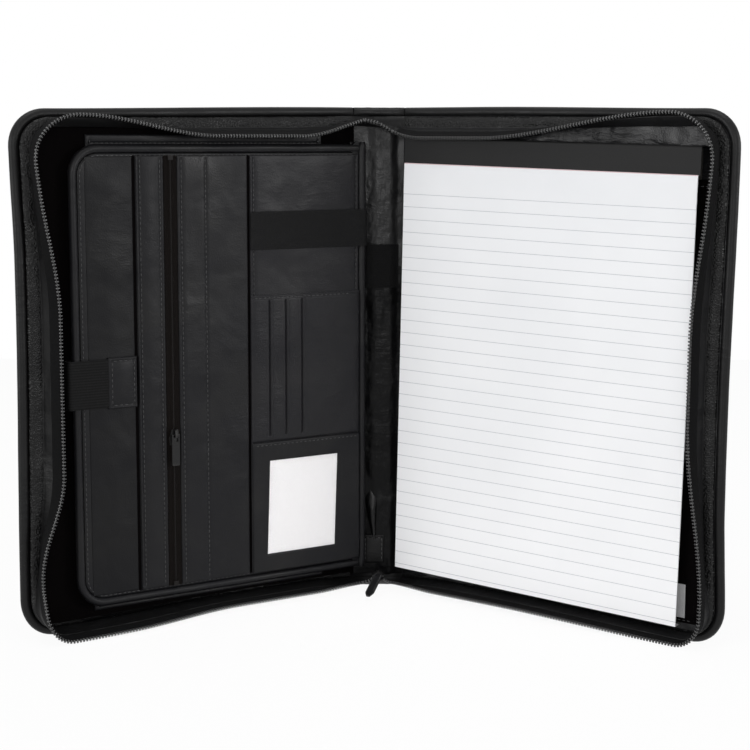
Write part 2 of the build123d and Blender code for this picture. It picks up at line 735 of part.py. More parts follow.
with BuildPart() as pocket_zip_stops:
    with BuildSketch(FRONT.offset(POCKET_CHAIN_N)):
        with Locations((ZIP_U, pocket_middle_v)):
            with GridLocations(0, pocket_chain_h + STOP_L, 1, 2):
                Rectangle(POCKET_CHAIN_W + FIT, STOP_L - FIT)
    extrude(amount=STOP_H)
save(pocket_zip_stops, "pocket_zip_stops")

# The slider caps the chain: a plate with two flanges, and a bridge for the pull
POCKET_SLIDER = Plane(
    origin=FRONT.from_local_coords((ZIP_U, SLIDER_V, POCKET_CHAIN_TOP_N + SLIDER_CLEAR)),
    x_dir=-FRONT.y_dir, z_dir=FRONT.z_dir,
)
flange_from = POCKET_CHAIN_W / 2 + SLIDER_CLEAR
flange_h = POCKET_CHAIN_H + POCKET_TOOTH_H
pocket_bridge_u = -SLIDER_L / 2
with BuildPart() as pocket_slider:
    with BuildSketch(POCKET_SLIDER):
        slider_outline(SLIDER_L, SLIDER_W, SLIDER_NOSE_W)
    extrude(amount=SLIDER_T)
    with BuildSketch(POCKET_SLIDER):
        block(0, SLIDER_L / 2, flange_from, SLIDER_W / 2)
        block(0, SLIDER_L / 2, -SLIDER_W / 2, -flange_from)
    extrude(amount=-flange_h)
    with BuildSketch(side_plane(POCKET_SLIDER, BRIDGE_W, SLIDER_T)):
        bridge_outline(pocket_bridge_u)
    extrude(amount=BRIDGE_W)
save(pocket_slider, "pocket_slider")

pocket_pin_u = pocket_bridge_u + BRIDGE_L - BRIDGE_T - PIN_R - 2 * FIT
pocket_pin_n = SLIDER_T + PIN_LIFT
with BuildPart() as pocket_pull:
    with BuildSketch(POCKET_SLIDER.offset(pocket_pin_n - PIN_R)) as pull_shape:
        block(pocket_pin_u, pocket_pin_u + PULL_L, -PULL_W / 2, PULL_W / 2)
        fillet(pull_shape.vertices().group_by(Axis.X)[-1], PULL_R)
        block(
            pocket_pin_u, pocket_pin_u + PIN_R + PULL_EYE,
            RING_BAR - PULL_W / 2, PULL_W / 2 - RING_BAR, mode=Mode.SUBTRACT,
        )
    extrude(amount=2 * PIN_R)
    with BuildSketch(side_plane(POCKET_SLIDER, PULL_W, 0)):
        with Locations((pocket_pin_u, pocket_pin_n)):
            Circle(PIN_R)
    extrude(amount=PULL_W)
save(pocket_pull, "pocket_pull")


# Card column of the organiser
build_panel("card_base", PANEL_NEAR, CARD_FAR, PANEL_BOTTOM, PANEL_TOP, ORG_FACE_N, PANEL_T)
build_panel("elastic_band", PANEL_NEAR, CARD_FAR, BAND_V, BAND_V + BAND_H, PANEL_N, BAND_T)
build_panel(
    "card_pockets", PANEL_NEAR + CARD_POCKET_MARGIN, CARD_FAR - CARD_POCKET_MARGIN,
    CARD_BOTTOM + CARD_POCKET_MARGIN, CARD_TOP - CARD_POCKET_MARGIN, PANEL_N, POCKET_LINING_T,
)

with BuildPart() as card_panel:
    with BuildSketch(FRONT.offset(PANEL_N + POCKET_LINING_T)):
        front_block(PANEL_NEAR, CARD_FAR, CARD_BOTTOM, CARD_TOP)
        for index in range(SLIT_COUNT):
            with Locations(((index + 1) * SLIT_STEP - CARD_FAR, (CARD_BOTTOM + CARD_TOP) / 2)):
                Rectangle(SLIT_W, SLIT_H, mode=Mode.SUBTRACT)
    extrude(amount=PANEL_T)
save(card_panel, "card_panel")

# Window pocket for a card: open on the side away from the spine
id_frame_top = CARD_BOTTOM - 2 * FIT
window_top = WINDOW_V + WINDOW_H
card_near = WINDOW_NEAR - ID_CARD_LAP
card_far = WINDOW_FAR + ID_CARD_LAP
card_bottom = WINDOW_V - ID_CARD_LAP
card_top = window_top + ID_CARD_LAP
id_space = ID_FRAME_T - ID_SKIN_T
with BuildPart() as id_frame:
    with BuildSketch(FRONT.offset(PANEL_N)):
        front_block(PANEL_NEAR, CARD_FAR, PANEL_BOTTOM, id_frame_top)
    extrude(amount=ID_FRAME_T)
    with BuildSketch(FRONT.offset(PANEL_N)):
        front_block(card_near - FIT, CARD_FAR + SEAM, card_bottom - FIT, card_top + FIT)
    extrude(amount=id_space, mode=Mode.SUBTRACT)
    with BuildSketch(FRONT.offset(PANEL_N)):
        front_block(WINDOW_NEAR, WINDOW_FAR, WINDOW_V, window_top)
    extrude(amount=ID_FRAME_T, mode=Mode.SUBTRACT)
save(id_frame, "id_frame")

build_panel(
    "id_window", WINDOW_NEAR - FILM_LAP, WINDOW_FAR + FILM_LAP, WINDOW_V - FILM_LAP, window_top + FILM_LAP,
    PANEL_N + id_space - FILM_T, FILM_T,
)
build_panel(
    "id_card", card_near, card_far, card_bottom, card_top,
    PANEL_N + (id_space - FILM_T - ID_CARD_T) / 2, ID_CARD_T,
)


# Closure strap: anchored behind the free edge, wrapped over the piping, held by a hook pad
strap_pivot_n = PIPE_N
strap_top = STRAP_V + STRAP_H
anchor_n = PIPE_N - PIPE_R - FIT
with BuildPart() as strap_anchor:
    with BuildSketch(front_profile(strap_top)):
        front_block(STRAP_FAR, STRAP_FAR + STRAP_T, anchor_n - STRAP_T, strap_pivot_n)
        front_block(ORG_FAR - ANCHOR_L, STRAP_FAR + STRAP_T, anchor_n - STRAP_T, anchor_n)
    extrude(amount=STRAP_H)
save(strap_anchor, "strap_anchor")

with BuildPart() as strap_elastic:
    with BuildSketch(front_profile(strap_top)) as strap_shape:
        front_block(STRAP_FAR, STRAP_FAR + STRAP_T, strap_pivot_n + STRAP_CLEAR, STRAP_N + STRAP_T)
        front_block(STRAP_NEAR, STRAP_FAR + STRAP_T, STRAP_N, STRAP_N + STRAP_T)
        fillet(strap_shape.vertices().sort_by(Axis((0, 0), (-1, 1)))[-1], STRAP_T - FIT)
    extrude(amount=STRAP_H)
save(strap_elastic, "strap_elastic")

strap_tab_v = STRAP_V + STRAP_H / 2 - STRAP_TAB_H / 2
with BuildPart() as strap_tab:
    with BuildSketch(FRONT.offset(STRAP_N)) as tab_shape:
        front_block(STRAP_TAB_NEAR, STRAP_NEAR, strap_tab_v, strap_tab_v + STRAP_TAB_H)
        fillet(tab_shape.vertices().group_by(Axis.X)[-1], STRAP_TAB_R)
    extrude(amount=STRAP_TAB_T)
save(strap_tab, "strap_tab")

hook_near = (STRAP_TAB_NEAR + STRAP_NEAR - HOOK_W) / 2
hook_v = STRAP_V + STRAP_H / 2 - HOOK_H / 2
build_panel("hook_pad", hook_near, hook_near + HOOK_W, hook_v, hook_v + HOOK_H, STRAP_N - HOOK_T, HOOK_T)
build_panel("loop_pad", hook_near, hook_near + HOOK_W, hook_v, hook_v + HOOK_H, ORG_FACE_N, HOOK_T)


# Writing pad and the pocket that its backing board slides into, from above and from the left.
# The pocket is sewn down beside the pad and stops below the binding that joins pages and board.
pocket_top = PAD_V + SHEET_H * cos(radians(PAD_TURN)) + SHEET_W * sin(radians(PAD_TURN)) - POCKET_DROP
with BuildPart() as pad_pocket:
    with BuildSketch(BACK) as pocket_shape:
        block(POCKET_NEAR, POCKET_FAR, POCKET_BOTTOM, pocket_top)
        fillet(pocket_shape.vertices().sort_by_distance((POCKET_FAR, POCKET_BOTTOM))[0], POCKET_R)
    extrude(amount=POCKET_FACE_N)
    with BuildSketch(BACK):
        block(
            POCKET_NEAR - POCKET_SEAM, POCKET_FAR - POCKET_SEAM,
            POCKET_BOTTOM - POCKET_SEAM, pocket_top + POCKET_SEAM,
        )
    extrude(amount=POCKET_SPACE, mode=Mode.SUBTRACT)
save(pad_pocket, "pad_pocket")

with BuildPart() as pad_board:
    with BuildSketch(PAD.offset(PAD_CLEAR)):
        block(0, SHEET_W, 0, PAD_H)
    extrude(amount=PAD_BOARD_T)
save(pad_board, "pad_board")

with BuildPart() as page_block:
    with BuildSketch(PAD.offset(PAGES_N)):
        block(0, SHEET_W, 0, PAD_H)
    extrude(amount=PAGES_T)
save(page_block, "page_block")

# The binding wraps the top edge; its glue line fills the space between the pages and the board
board_top_n = PAD_CLEAR + PAD_BOARD_T
with BuildPart() as pad_binding:
    with BuildSketch(PAD.offset(PAD_CLEAR)):
        block(0, SHEET_W, PAD_H, PAD_H + BINDING_T)
    extrude(amount=PAGES_TOP_N + BINDING_T - PAD_CLEAR)
    with BuildSketch(PAD.offset(PAGES_TOP_N)):
        block(0, SHEET_W, SHEET_H, PAD_H)
    extrude(amount=BINDING_T)
    with BuildSketch(PAD.offset(board_top_n)):
        block(0, SHEET_W, SHEET_H, PAD_H)
    extrude(amount=PAGES_N - board_top_n)
save(pad_binding, "pad_binding")

with BuildPart() as top_sheet:
    with BuildSketch(PAD.offset(PAGES_TOP_N + PAD_CLEAR)):
        block(0, SHEET_W, 0, SHEET_H - FIT)
    extrude(amount=TOP_SHEET_T)
save(top_sheet, "top_sheet")

with BuildPart() as label_tab:
    with BuildSketch(BACK.offset(POCKET_FACE_N)):
        block(LABEL_NEAR, LABEL_NEAR + LABEL_W, LABEL_V, LABEL_V + LABEL_H)
    extrude(amount=LABEL_T)
save(label_tab, "label_tab")
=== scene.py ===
from collections import namedtuple
from math import cos, pi, radians, sin, tan

import bmesh
import bpy
import numpy as np
from mathutils import Matrix, Vector, noise


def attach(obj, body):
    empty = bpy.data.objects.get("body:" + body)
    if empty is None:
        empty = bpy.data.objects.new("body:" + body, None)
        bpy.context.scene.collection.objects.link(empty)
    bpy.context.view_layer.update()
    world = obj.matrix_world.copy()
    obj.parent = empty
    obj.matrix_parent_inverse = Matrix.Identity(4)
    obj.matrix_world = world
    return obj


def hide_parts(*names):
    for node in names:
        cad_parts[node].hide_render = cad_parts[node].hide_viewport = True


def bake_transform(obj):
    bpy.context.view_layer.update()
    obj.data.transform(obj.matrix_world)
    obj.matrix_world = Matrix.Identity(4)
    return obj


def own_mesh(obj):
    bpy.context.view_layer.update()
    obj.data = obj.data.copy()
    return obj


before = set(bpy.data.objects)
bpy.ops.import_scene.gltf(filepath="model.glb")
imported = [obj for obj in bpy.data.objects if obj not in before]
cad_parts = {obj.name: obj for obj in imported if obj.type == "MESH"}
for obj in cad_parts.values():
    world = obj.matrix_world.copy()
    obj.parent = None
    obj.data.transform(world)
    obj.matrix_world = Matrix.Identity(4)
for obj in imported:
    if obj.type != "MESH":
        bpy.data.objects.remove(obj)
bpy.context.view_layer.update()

# Zippered padfolio standing open. Sizes are millimetres and become metres when a piece is made.
MM = 0.001

# The folder's flats, as the solids have them
SPINE_W = 34.0
COVER_T = 4.5
COVER_W = 243.0
COVER_H = 326.0
FRONT_DEG = 32.0
BACK_DEG = 36.8
PAD_DEG = -1.3
CREASE_GAP = 0.3
CORNER_R = 23.0
RIM_W = 6.2
SKIN_T = 1.2
FRONT_SIDE = -1
BACK_SIDE = 1

# Section of a cover's edge from the inside of its recess to the outer face: inset, then height
RIM_SECTION = (
    (RIM_W, SKIN_T - COVER_T), (RIM_W, -1.0), (5.7, -0.2), (4.7, 0.5), (3.4, 0.75), (2.1, 0.5), (1.0, -0.15),
    (0.3, -1.1), (0.0, -2.2), (0.2, -3.2), (0.9, -4.0), (2.0, -4.5), (3.4, -4.7), (4.6, -4.5), (5.2, -4.25),
    (5.8, -4.3), (6.8, -4.65), (9.0, -4.85), (15.0, -5.05), (27.0, -5.2),
)
SPINE_SECTION = np.array(RIM_SECTION[:-3])
RIM_CRUMPLE = 0.2
OUTER_SEAM_INSET = 5.2
OUTER_SEAM_N = -4.3
PUFF_FADE = 24.0
FOLD_FADE = 2.5
BEAD_FOOT_N = -0.3
LINING_TUCK = 0.5
LINING_GAP = 0.05
LINING_SECTION = ((0.1, -0.25), (0.5, -0.04), (2.0, 0.0))

# How the soft edges of the covers stray from straight lines
FRONT_SIDE_DIP = 2.2
BACK_SIDE_DIP = 2.8
SPINE_TOP_RISE = 3.0
CORNER_SAG = 3.0

# Gusset wall with its zip
WALL_INSET = 6.4
WALL_END = 3.0
WALL_H = 14.4
GUSSET_T = 1.2
TAPE_T = 0.8
CORNER_LEAN = 2.6
FLOOR_LEAN = 5.2
FOOT_CORNER_R = 16.6
FREE_CORNER_R = 30.0
FREE_LOW_CORNER_R = 17.0
FRONT_CORNER_RISE = 5.5
BACK_CORNER_RISE = 8.0
FRONT_BOW = 14.5
BACK_BOW = 11.5
FRONT_DROOP = 12.5
BACK_DROOP = 16.0
FRONT_FLARE = 9.0
BACK_FLARE = 1.0
FLOOR_RISE = 1.5
FLOOR_BELLY = 4.0
WALL_WRINKLE = 0.16
WALL_SEED = 3
TAPE_WRINKLE = 0.12
TAPE_SEED = 5
CORD_R = 0.3
TOOTH_PITCH = 2.1
TOOTH_L = 1.0
TOOTH_W = 2.5
TOOTH_H = 2.1

# A crinkled welt beside the cover's edge, a sewn groove, the smooth wall, then the zip tape:
# height, inward set and share of the wrinkles
WELT_LEVELS = (
    (0.0, -0.2, 0.2), (0.6, -0.8, 1.0), (1.5, -1.0, 1.5), (2.3, -0.6, 2.2), (2.8, 0.6, 2.4), (3.1, 2.0, 2.4),
    (3.25, 3.2, 1.8), (3.3, 3.9, 0.8),
)
GUSSET_LEVELS = (
    (3.3, 3.8, 0.8), (3.4, 4.3, 0.3), (3.7, 4.2, 0.3), (4.3, 3.7, 0.5), (5.2, 3.1, 0.6),
    (6.4, 2.4, 0.7), (7.6, 1.7, 0.7), (8.8, 0.9, 0.6), (9.6, 0.4, 0.4),
)
TAPE_LEVELS = ((9.4, 0.5, 0.4), (10.4, 0.35, 0.7), (11.8, 0.2, 0.8), (13.2, 0.1, 0.5), (14.4, 0.0, 0.2))

# Webs and zip ends across the spine
WEB_LEVELS = WELT_LEVELS[1::2] + GUSSET_LEVELS[2:] + TAPE_LEVELS[1:]
WEB_STEPS = 28
WEB_LEAD = 2.5
WEB_BEND = 5.5
WEB_RUCK = 0.4
SLIDER_Y = -17.5
SLIDER_Z = 7.3
UNDER_SLIDER_Z = 4.7
TOP_MEET_Z = 318.3
ZIP_MIDDLE_N = 15.8

# Sewing
STITCH_PITCH = 3.2
STITCH_L = 2.2
STITCH_W = 0.7
STITCH_H = 0.42
STITCH_LIFT = 0.08
SEAM_DEPTH = 0.45
SEAM_W = 0.8
SEAM_STEPS = 60

# Sewn panels
PANEL_EDGE = 1.3
PANEL_STEP_U = 5.0
PANEL_STEP_V = 6.0

# Organiser
LAYER_CORNER_R = 13.2
PIPING_CORNER_R = 19.0
FACE_SEAM_INSET = 1.2
EDGE_ROLL_U = 1.3
EDGE_ROLL_N = 8.2
EDGE_ROLL_R = 2.6
EDGE_BEND_U = -6.0
EDGE_STRIP_N = 5.0
EDGE_LIP = ((-1.5, 7.9), (-3.5, 7.9), (-5.9, 7.9), (-5.9, 5.6), (-2.5, 5.7))
COLUMN_U = -20.0
COLUMN_EDGE_U = -1.6
MOUTH_W = 1.8
MOUTH_LAP = 1.2
CARD_ROOM = 0.2
CARD_TOP_V = 110.0
SLIT_DEPTH = 1.1
SLIT_W = 0.55
SLIT_LIP_H = 0.3
SLIT_LIP_OFF = 1.5
SLIT_LIP_W = 0.9
WINDOW_SKEW = -2.2
WINDOW_LIP = 0.9
WINDOW_EDGE = 1.6
WINDOW_LAP = 2.5
BAND_T = 0.8
BAND_ROLL_U = 0.6
BAND_SPLIT_U = -5.0
BAND_LIFT = 0.45
FLAT_RIB = (1.25, 0.03)
STRAP_T = 1.0
STRAP_WEB_T = 0.9
STRAP_BULGE = 3.0
STRAP_RIB_PITCH = 1.7
STRAP_RIB = 0.2
TAIL_RIB = 0.15
POCKET_CORD_W = 0.5
POCKET_TOOTH_PITCH = 1.4
POCKET_TOOTH_L = 0.75
POCKET_TOOTH_W = 1.1

# Writing pad
RULE_PITCH = 8.52
RULE_FIRST = 20.6
RULE_W = 0.35
GUM_W = 0.45
PAGE_FAN = 3.2
PAGE_TRIM = 1.6
SHEET_ROOM = 0.5
TOP_SHEET_DROP = (0.0, 0.12)
NEXT_SHEET_DROP = (0.15, 0.25)
WRAP_T = 0.3
WRAP_BACK = 0.28
WRAP_R = 1.2
LABEL_SHIFT_U = (-7.0, -4.4)
LABEL_SHIFT_V = -2.0
LABEL_CURL = 0.4

# Spine
SPINE_EASE = 0.2
SPINE_CROWN = 0.5
CREASE_LAP_DEG = 3
LINING_RISE = 2.4
RIDGE_H = 1.5
RIDGE_RUCK = 0.5
RIDGE_FINE_RUCK = 0.22
PLEAT_H = 2.6
PLEAT_U = (-5.6, -2.6)
PLEAT_V = (66.0, 31.0)
LOOP_T = 0.6

# Section of the hinge welt: from the pivot along u, then height
HINGE_NECK = (
    (-0.5, 0.05), (0.5, 0.05), (1.0, 0.4), (0.5, 0.9), (0.45, 1.9), (0.95, 2.6), (0.6, 3.5), (0.0, 3.75),
    (-0.6, 3.5), (-0.95, 2.6), (-0.45, 1.9), (-0.6, 0.85),
)

# Tab of the main pull
TAB_W = 3.1
TAB_STEPS = 26
TAB_EDGE_T = 0.25
TAB_CROWN = 0.45
TAB_SEAM_OFF = 2.2
TAB_SEAM_LIFT = 0.68
TAB_SEAM_RUN = slice(6, -3)
TAB_STITCH_PITCH = 2.4

# Solids, light and the view of the photograph: turn in degrees, place in millimetres, focal length in pixels
BEVEL_W = 0.15
TABLE_GLOW = 0.94
WORLD_LIGHT = 0.45
PHOTO_W = 750
SENSOR_W = 36.0
CAMERA_TURN = (0.5546, 8.1575, 0.1641)
CAMERA_PLACE = (-13.267, -1141.212, 309.897)
CAMERA_FOCUS = 1667.15


class Board:
    """One flat of the folder: u along it, v up it, n out of its inner face, in millimetres."""

    def __init__(self, origin, along, out, up=(0, 0, 1)):
        self.origin = np.array(origin, float)
        self.along = np.array(along, float)
        self.out = np.array(out, float)
        self.up = np.array(up, float)

    def at(self, u, v, n):
        u, v, n = np.broadcast_arrays(np.asarray(u, float), np.asarray(v, float), np.asarray(n, float))
        return self.origin + u[..., None] * self.along + v[..., None] * self.up + n[..., None] * self.out

    def local(self, points):
        rel = np.asarray(points, float) - self.origin
        return np.stack((rel @ self.along, rel @ self.up, rel @ self.out), axis=-1)


def cover_board(side, degrees):
    """The flat of a cover, turned about its fold line."""
    turn = radians(degrees)
    along = (cos(turn), -side * sin(turn), 0)
    out = (-side * sin(turn), -cos(turn), 0)
    return Board((side * SPINE_W / 2, -COVER_T / 2, 0), along, out)


FRONT = cover_board(FRONT_SIDE, FRONT_DEG)
BACK = cover_board(BACK_SIDE, BACK_DEG)
SPINE = Board((0, -COVER_T / 2, 0), (1, 0, 0), (0, -1, 0))
Extent = namedtuple("Extent", "u0 u1 v0 v1 n0 n1")


def node_points(node):
    """A solid's corner points in millimetres."""
    return np.array([vertex.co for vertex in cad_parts[node].data.vertices]) / MM


def measure(board, node):
    """How far a solid reaches along a flat, up it and out of it."""
    spots = board.local(node_points(node))
    low = spots.min(axis=0)
    high = spots.max(axis=0)
    return Extent(low[0], high[0], low[1], high[1], low[2], high[2])


def pad_board():
    """The flat of the writing pad, turned a little on the back cover."""
    turn = radians(PAD_DEG)
    along = BACK.along * cos(turn) + BACK.up * sin(turn)
    up = BACK.up * cos(turn) - BACK.along * sin(turn)
    loose = Board(BACK.origin, along, BACK.out, up)
    reach = measure(loose, "page_block")
    return Board(loose.at(reach.u0, reach.v0, 0), along, BACK.out, up)


PAD = pad_board()


# Mesh helpers
def smooth(values):
    """Smooth step from 0 to 1."""
    t = np.clip(values, 0, 1)
    return t * t * (3 - 2 * t)


def ripple(points, scale, seed):
    """Even noise between about -1 and 1 at every point, scale in waves per millimetre."""
    points = np.asarray(points, float)
    shift = Vector((seed * 17.3, seed * 5.1, seed * 9.7))
    flat = [noise.noise(Vector(point) * scale + shift) for point in points.reshape(-1, 3)]
    return np.array(flat).reshape(points.shape[:-1])


class Batch:
    """Vertices and faces of one piece, gathered bit by bit."""

    def __init__(self):
        self.parts = []
        self.faces = []
        self.count = 0

    def add(self, verts, faces):
        verts = np.asarray(verts, float).reshape(-1, 3)
        self.parts.append(verts)
        self.faces += [[index + self.count for index in face] for face in faces]
        self.count += len(verts)

    def form(self):
        return np.concatenate(self.parts), self.faces


def grid_faces(rows, columns, start=0, flip=False):
    """Quads of a grid whose vertices run row by row."""
    faces = []
    for row in range(rows - 1):
        for column in range(columns - 1):
            a = start + row * columns + column
            quad = [a, a + 1, a + columns + 1, a + columns]
            faces.append(quad[::-1] if flip else quad)
    return faces


def border(rows, columns):
    """Indices round the edge of a grid."""
    first = list(range(columns))
    right = [row * columns + columns - 1 for row in range(1, rows)]
    last = [(rows - 1) * columns + column for column in range(columns - 2, -1, -1)]
    left = [row * columns for row in range(rows - 2, 0, -1)]
    return first + right + last + left


def closed_sheet(top, bottom):
    """A sheet with thickness: two grids and the strip that joins their edges."""
    rows, columns = top.shape[:2]
    count = rows * columns
    faces = grid_faces(rows, columns) + grid_faces(rows, columns, count, flip=True)
    loop = border(rows, columns)
    for here, there in zip(loop, loop[1:] + loop[:1]):
        faces.append([here + count, there + count, there, here])
    return np.concatenate((top.reshape(-1, 3), bottom.reshape(-1, 3))), faces


def plate(board, u, v, top, bottom):
    """A sheet over a grid of places on a flat, between two heights."""
    return closed_sheet(board.at(u, v, top), board.at(u, v, bottom))


def field(reach, columns, rows):
    """Even grid of places over an extent."""
    return np.meshgrid(np.linspace(reach.u0, reach.u1, columns), np.linspace(reach.v0, reach.v1, rows))


def lofted(sections):
    """A solid through closed rings of equal length, with flat ends."""
    count, size = sections.shape[:2]
    faces = []
    for a in range(0, (count - 1) * size, size):
        for spot in range(size):
            after = (spot + 1) % size
            faces.append([a + spot, a + after, a + size + after, a + size + spot])
    faces.append(list(range(size))[::-1])
    faces.append([(count - 1) * size + spot for spot in range(size)])
    return sections.reshape(-1, 3), faces


def directions(path):
    """Unit direction of travel at every point of a line."""
    step = np.gradient(path, axis=0)
    return step / np.linalg.norm(step, axis=1, keepdims=True)


def normals(line):
    """Unit normal at every point of a line in a plane."""
    step = directions(line)
    return np.stack((-step[:, 1], step[:, 0]), axis=1)


def side_and_lift(along, out):
    """Directions across a line and out of it, square to its direction of travel."""
    across = np.cross(np.broadcast_to(out, along.shape), along)
    across /= np.linalg.norm(across, axis=1, keepdims=True)
    return across, np.cross(along, across)


def swept(path, out, profile, swell=1.0):
    """A profile, given across and outwards, carried along a line."""
    across, lift = side_and_lift(directions(path), out)
    scale = np.broadcast_to(swell, len(path))[:, None, None]
    rings = across[:, None, :] * profile[None, :, :1] + lift[:, None, :] * profile[None, :, 1:]
    return lofted(path[:, None, :] + rings * scale)


def round_profile(radius, sides=12, height=None):
    """A round or oval section."""
    tall = radius if height is None else height
    turns = np.arange(sides) * 2 * pi / sides
    return np.stack((radius * np.cos(turns), tall * np.sin(turns)), axis=1)


def rounded_line(corners, radii, runs, arc_steps=12):
    """A line through corners, rounded at the inner ones, with a set number of points on every run."""
    spots = [np.array(corner, float) for corner in corners]
    legs = []
    start = spots[0]
    for before, corner, after, steps, radius in zip(spots, spots[1:], spots[2:], runs, radii):
        back = (before - corner) / np.linalg.norm(before - corner)
        on = (after - corner) / np.linalg.norm(after - corner)
        opening = np.arccos(np.clip(back @ on, -1, 1))
        reach = radius / tan(opening / 2)
        middle = corner + (back + on) / np.linalg.norm(back + on) * radius / sin(opening / 2)
        enter = corner + back * reach - middle
        leave = corner + on * reach - middle
        legs.append(np.linspace(start, middle + enter, steps, endpoint=False))
        turn = pi - opening
        share = np.linspace(0, 1, arc_steps, endpoint=False)[:, None]
        legs.append(middle + (np.sin((1 - share) * turn) * enter + np.sin(share * turn) * leave) / sin(turn))
        start = middle + leave
    legs.append(np.linspace(start, spots[-1], runs[-1]))
    return np.concatenate(legs)


def repeated(batch, path, out, pitch, form):
    """Copies of a small form at an even pitch along a line: x along it, y across, z outwards."""
    steps = np.linalg.norm(np.diff(path, axis=0), axis=1)
    travel = np.concatenate(([0], np.cumsum(steps)))
    count = max(2, int(travel[-1] / pitch))
    places = (np.arange(count) + 0.5) * travel[-1] / count
    points, ahead, behind = (
        np.stack([np.interp(places + shift, travel, path[:, axis]) for axis in range(3)], axis=1)
        for shift in (0, 0.1, -0.1)
    )
    along = (ahead - behind) / np.linalg.norm(ahead - behind, axis=1, keepdims=True)
    across, lift = side_and_lift(along, out)
    for point, *axes in zip(points, along, across, lift):
        batch.add(point + form[0] @ np.stack(axes), form[1])


def bar_form(length, sides, rings):
    """A short bar along x through oval rings, each with its place, half width, half height and middle."""
    turns = np.arange(sides) * 2 * pi / sides
    return lofted(np.array([
        np.stack((np.full(sides, place * length), wide * np.cos(turns), middle + tall * np.sin(turns)), axis=1)
        for place, wide, tall, middle in rings
    ]))


def tooth_form(length, width, height):
    """One turn of the coil: a rounded bar across the tape."""
    return bar_form(length, 8, [
        (place, width / 2 * (0.85 + 0.15 * size), height / 2 * size, height / 2)
        for place, size in ((-0.5, 0.7), (-0.3, 1.0), (0.3, 1.0), (0.5, 0.7))
    ])


# One stitch: a short thread that dives into the leather at both ends
STITCH = bar_form(STITCH_L, 6, [
    (place, STITCH_W / 2 * size, STITCH_H * size, STITCH_H * (size - 1))
    for place, size in ((-0.5, 0.35), (-0.25, 0.9), (0.25, 0.9), (0.5, 0.35))
])


def sew(batch, path, out, pitch=STITCH_PITCH):
    """A row of stitches along a line."""
    repeated(batch, path, out, pitch, STITCH)


def make_object(name, form, material, sharp=45, marks=None):
    """A mesh object with even normals, smooth but for its sharp edges."""
    verts, faces = form
    mesh = bpy.data.meshes.new(name)
    mesh.from_pydata((np.asarray(verts) * MM).tolist(), [], faces)
    tool = bmesh.new()
    tool.from_mesh(mesh)
    bmesh.ops.recalc_face_normals(tool, faces=tool.faces)
    tool.to_mesh(mesh)
    tool.free()
    mesh.shade_smooth()
    mesh.set_sharp_from_angle(angle=radians(sharp))
    mesh.materials.append(material)
    for mark, values in (marks or {}).items():
        attribute = mesh.attributes.new(mark, "FLOAT", "POINT")
        attribute.data.foreach_set("value", np.asarray(values, np.float32).ravel())
    obj = bpy.data.objects.new(name, mesh)
    bpy.context.scene.collection.objects.link(obj)
    return obj


def stand_for(obj, nodes):
    """Hides the solids that a piece stands for."""
    if nodes:
        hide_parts(*nodes)
    return obj


def add_piece(name, form, material, body, nodes=(), sharp=45, marks=None):
    """A piece that rides on one body."""
    obj = make_object(name, form, material, sharp, marks)
    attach(obj, body)
    return stand_for(obj, nodes)


def add_bending(name, form, material, bodies, start, end, nodes=(), slot=None):
    """A piece of leather or chain between two bodies, fixed in place where it lies."""
    obj = make_object(name, form, material)
    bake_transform(obj)
    return stand_for(obj, nodes)


# Materials
def add_node(tree, kind, inputs, **settings):
    """A shader node; each input is a socket to link or a value to set."""
    node = tree.nodes.new("ShaderNode" + kind)
    for name, value in settings.items():
        setattr(node, name, value)
    for name, value in inputs.items():
        if isinstance(value, bpy.types.NodeSocket):
            tree.links.new(value, node.inputs[name])
        else:
            node.inputs[name].default_value = value
    return node


def math_node(tree, operation, first, second=0.5):
    """Result of a sum on sockets or numbers."""
    return add_node(tree, "Math", {0: first, 1: second}, operation=operation).outputs["Value"]


def ranged(tree, value, low, high, from_low=0.0, from_high=1.0):
    """A value carried from one range to another."""
    inputs = {"Value": value, "From Min": from_low, "From Max": from_high, "To Min": low, "To Max": high}
    return add_node(tree, "MapRange", inputs).outputs["Result"]


class Surface:
    """A material in the making, with a coordinate that stays on the piece."""

    def __init__(self, name, roughness, specular):
        self.material = bpy.data.materials.new(name)
        self.material.use_nodes = True
        self.tree = self.material.node_tree
        self.bsdf = self.tree.nodes["Principled BSDF"]
        self.coords = add_node(self.tree, "TexCoord", {}).outputs["Object"]
        self.bsdf.inputs["Roughness"].default_value = roughness
        self.bsdf.inputs["Specular IOR Level"].default_value = specular

    def give(self, name, value):
        self.tree.links.new(value, self.bsdf.inputs[name])

    def noise(self, scale, detail=3.0, distortion=0.0, coords=None):
        inputs = {"Vector": coords or self.coords, "Scale": scale, "Detail": detail, "Distortion": distortion}
        return add_node(self.tree, "TexNoise", inputs).outputs["Fac"]

    def waves(self, scale, direction):
        inputs = {"Vector": self.coords, "Scale": scale, "Distortion": 0.8}
        return add_node(self.tree, "TexWave", inputs, bands_direction=direction).outputs["Fac"]

    def mark(self, name):
        return add_node(self.tree, "Attribute", {}, attribute_name=name).outputs["Fac"]

    def math(self, operation, first, second=0.5):
        return math_node(self.tree, operation, first, second)

    def ranged(self, *values):
        return ranged(self.tree, *values)

    def mixed(self, factor, first, second):
        """Colour between two colours or colour sockets."""
        colours = [(*value, 1.0) if isinstance(value, tuple) else value for value in (first, second)]
        inputs = {"Factor": factor, 6: colours[0], 7: colours[1]}
        return add_node(self.tree, "Mix", inputs, data_type="RGBA").outputs[2]

    def finished(self, *heights):
        """Lays bumps, each with a strength and a height in metres, one on another; gives the material."""
        normal = None
        for height, strength, distance in heights:
            inputs = {"Height": height, "Strength": strength, "Distance": distance}
            if normal is not None:
                inputs["Normal"] = normal
            normal = add_node(self.tree, "Bump", inputs).outputs["Normal"]
        self.give("Normal", normal)
        return self.material


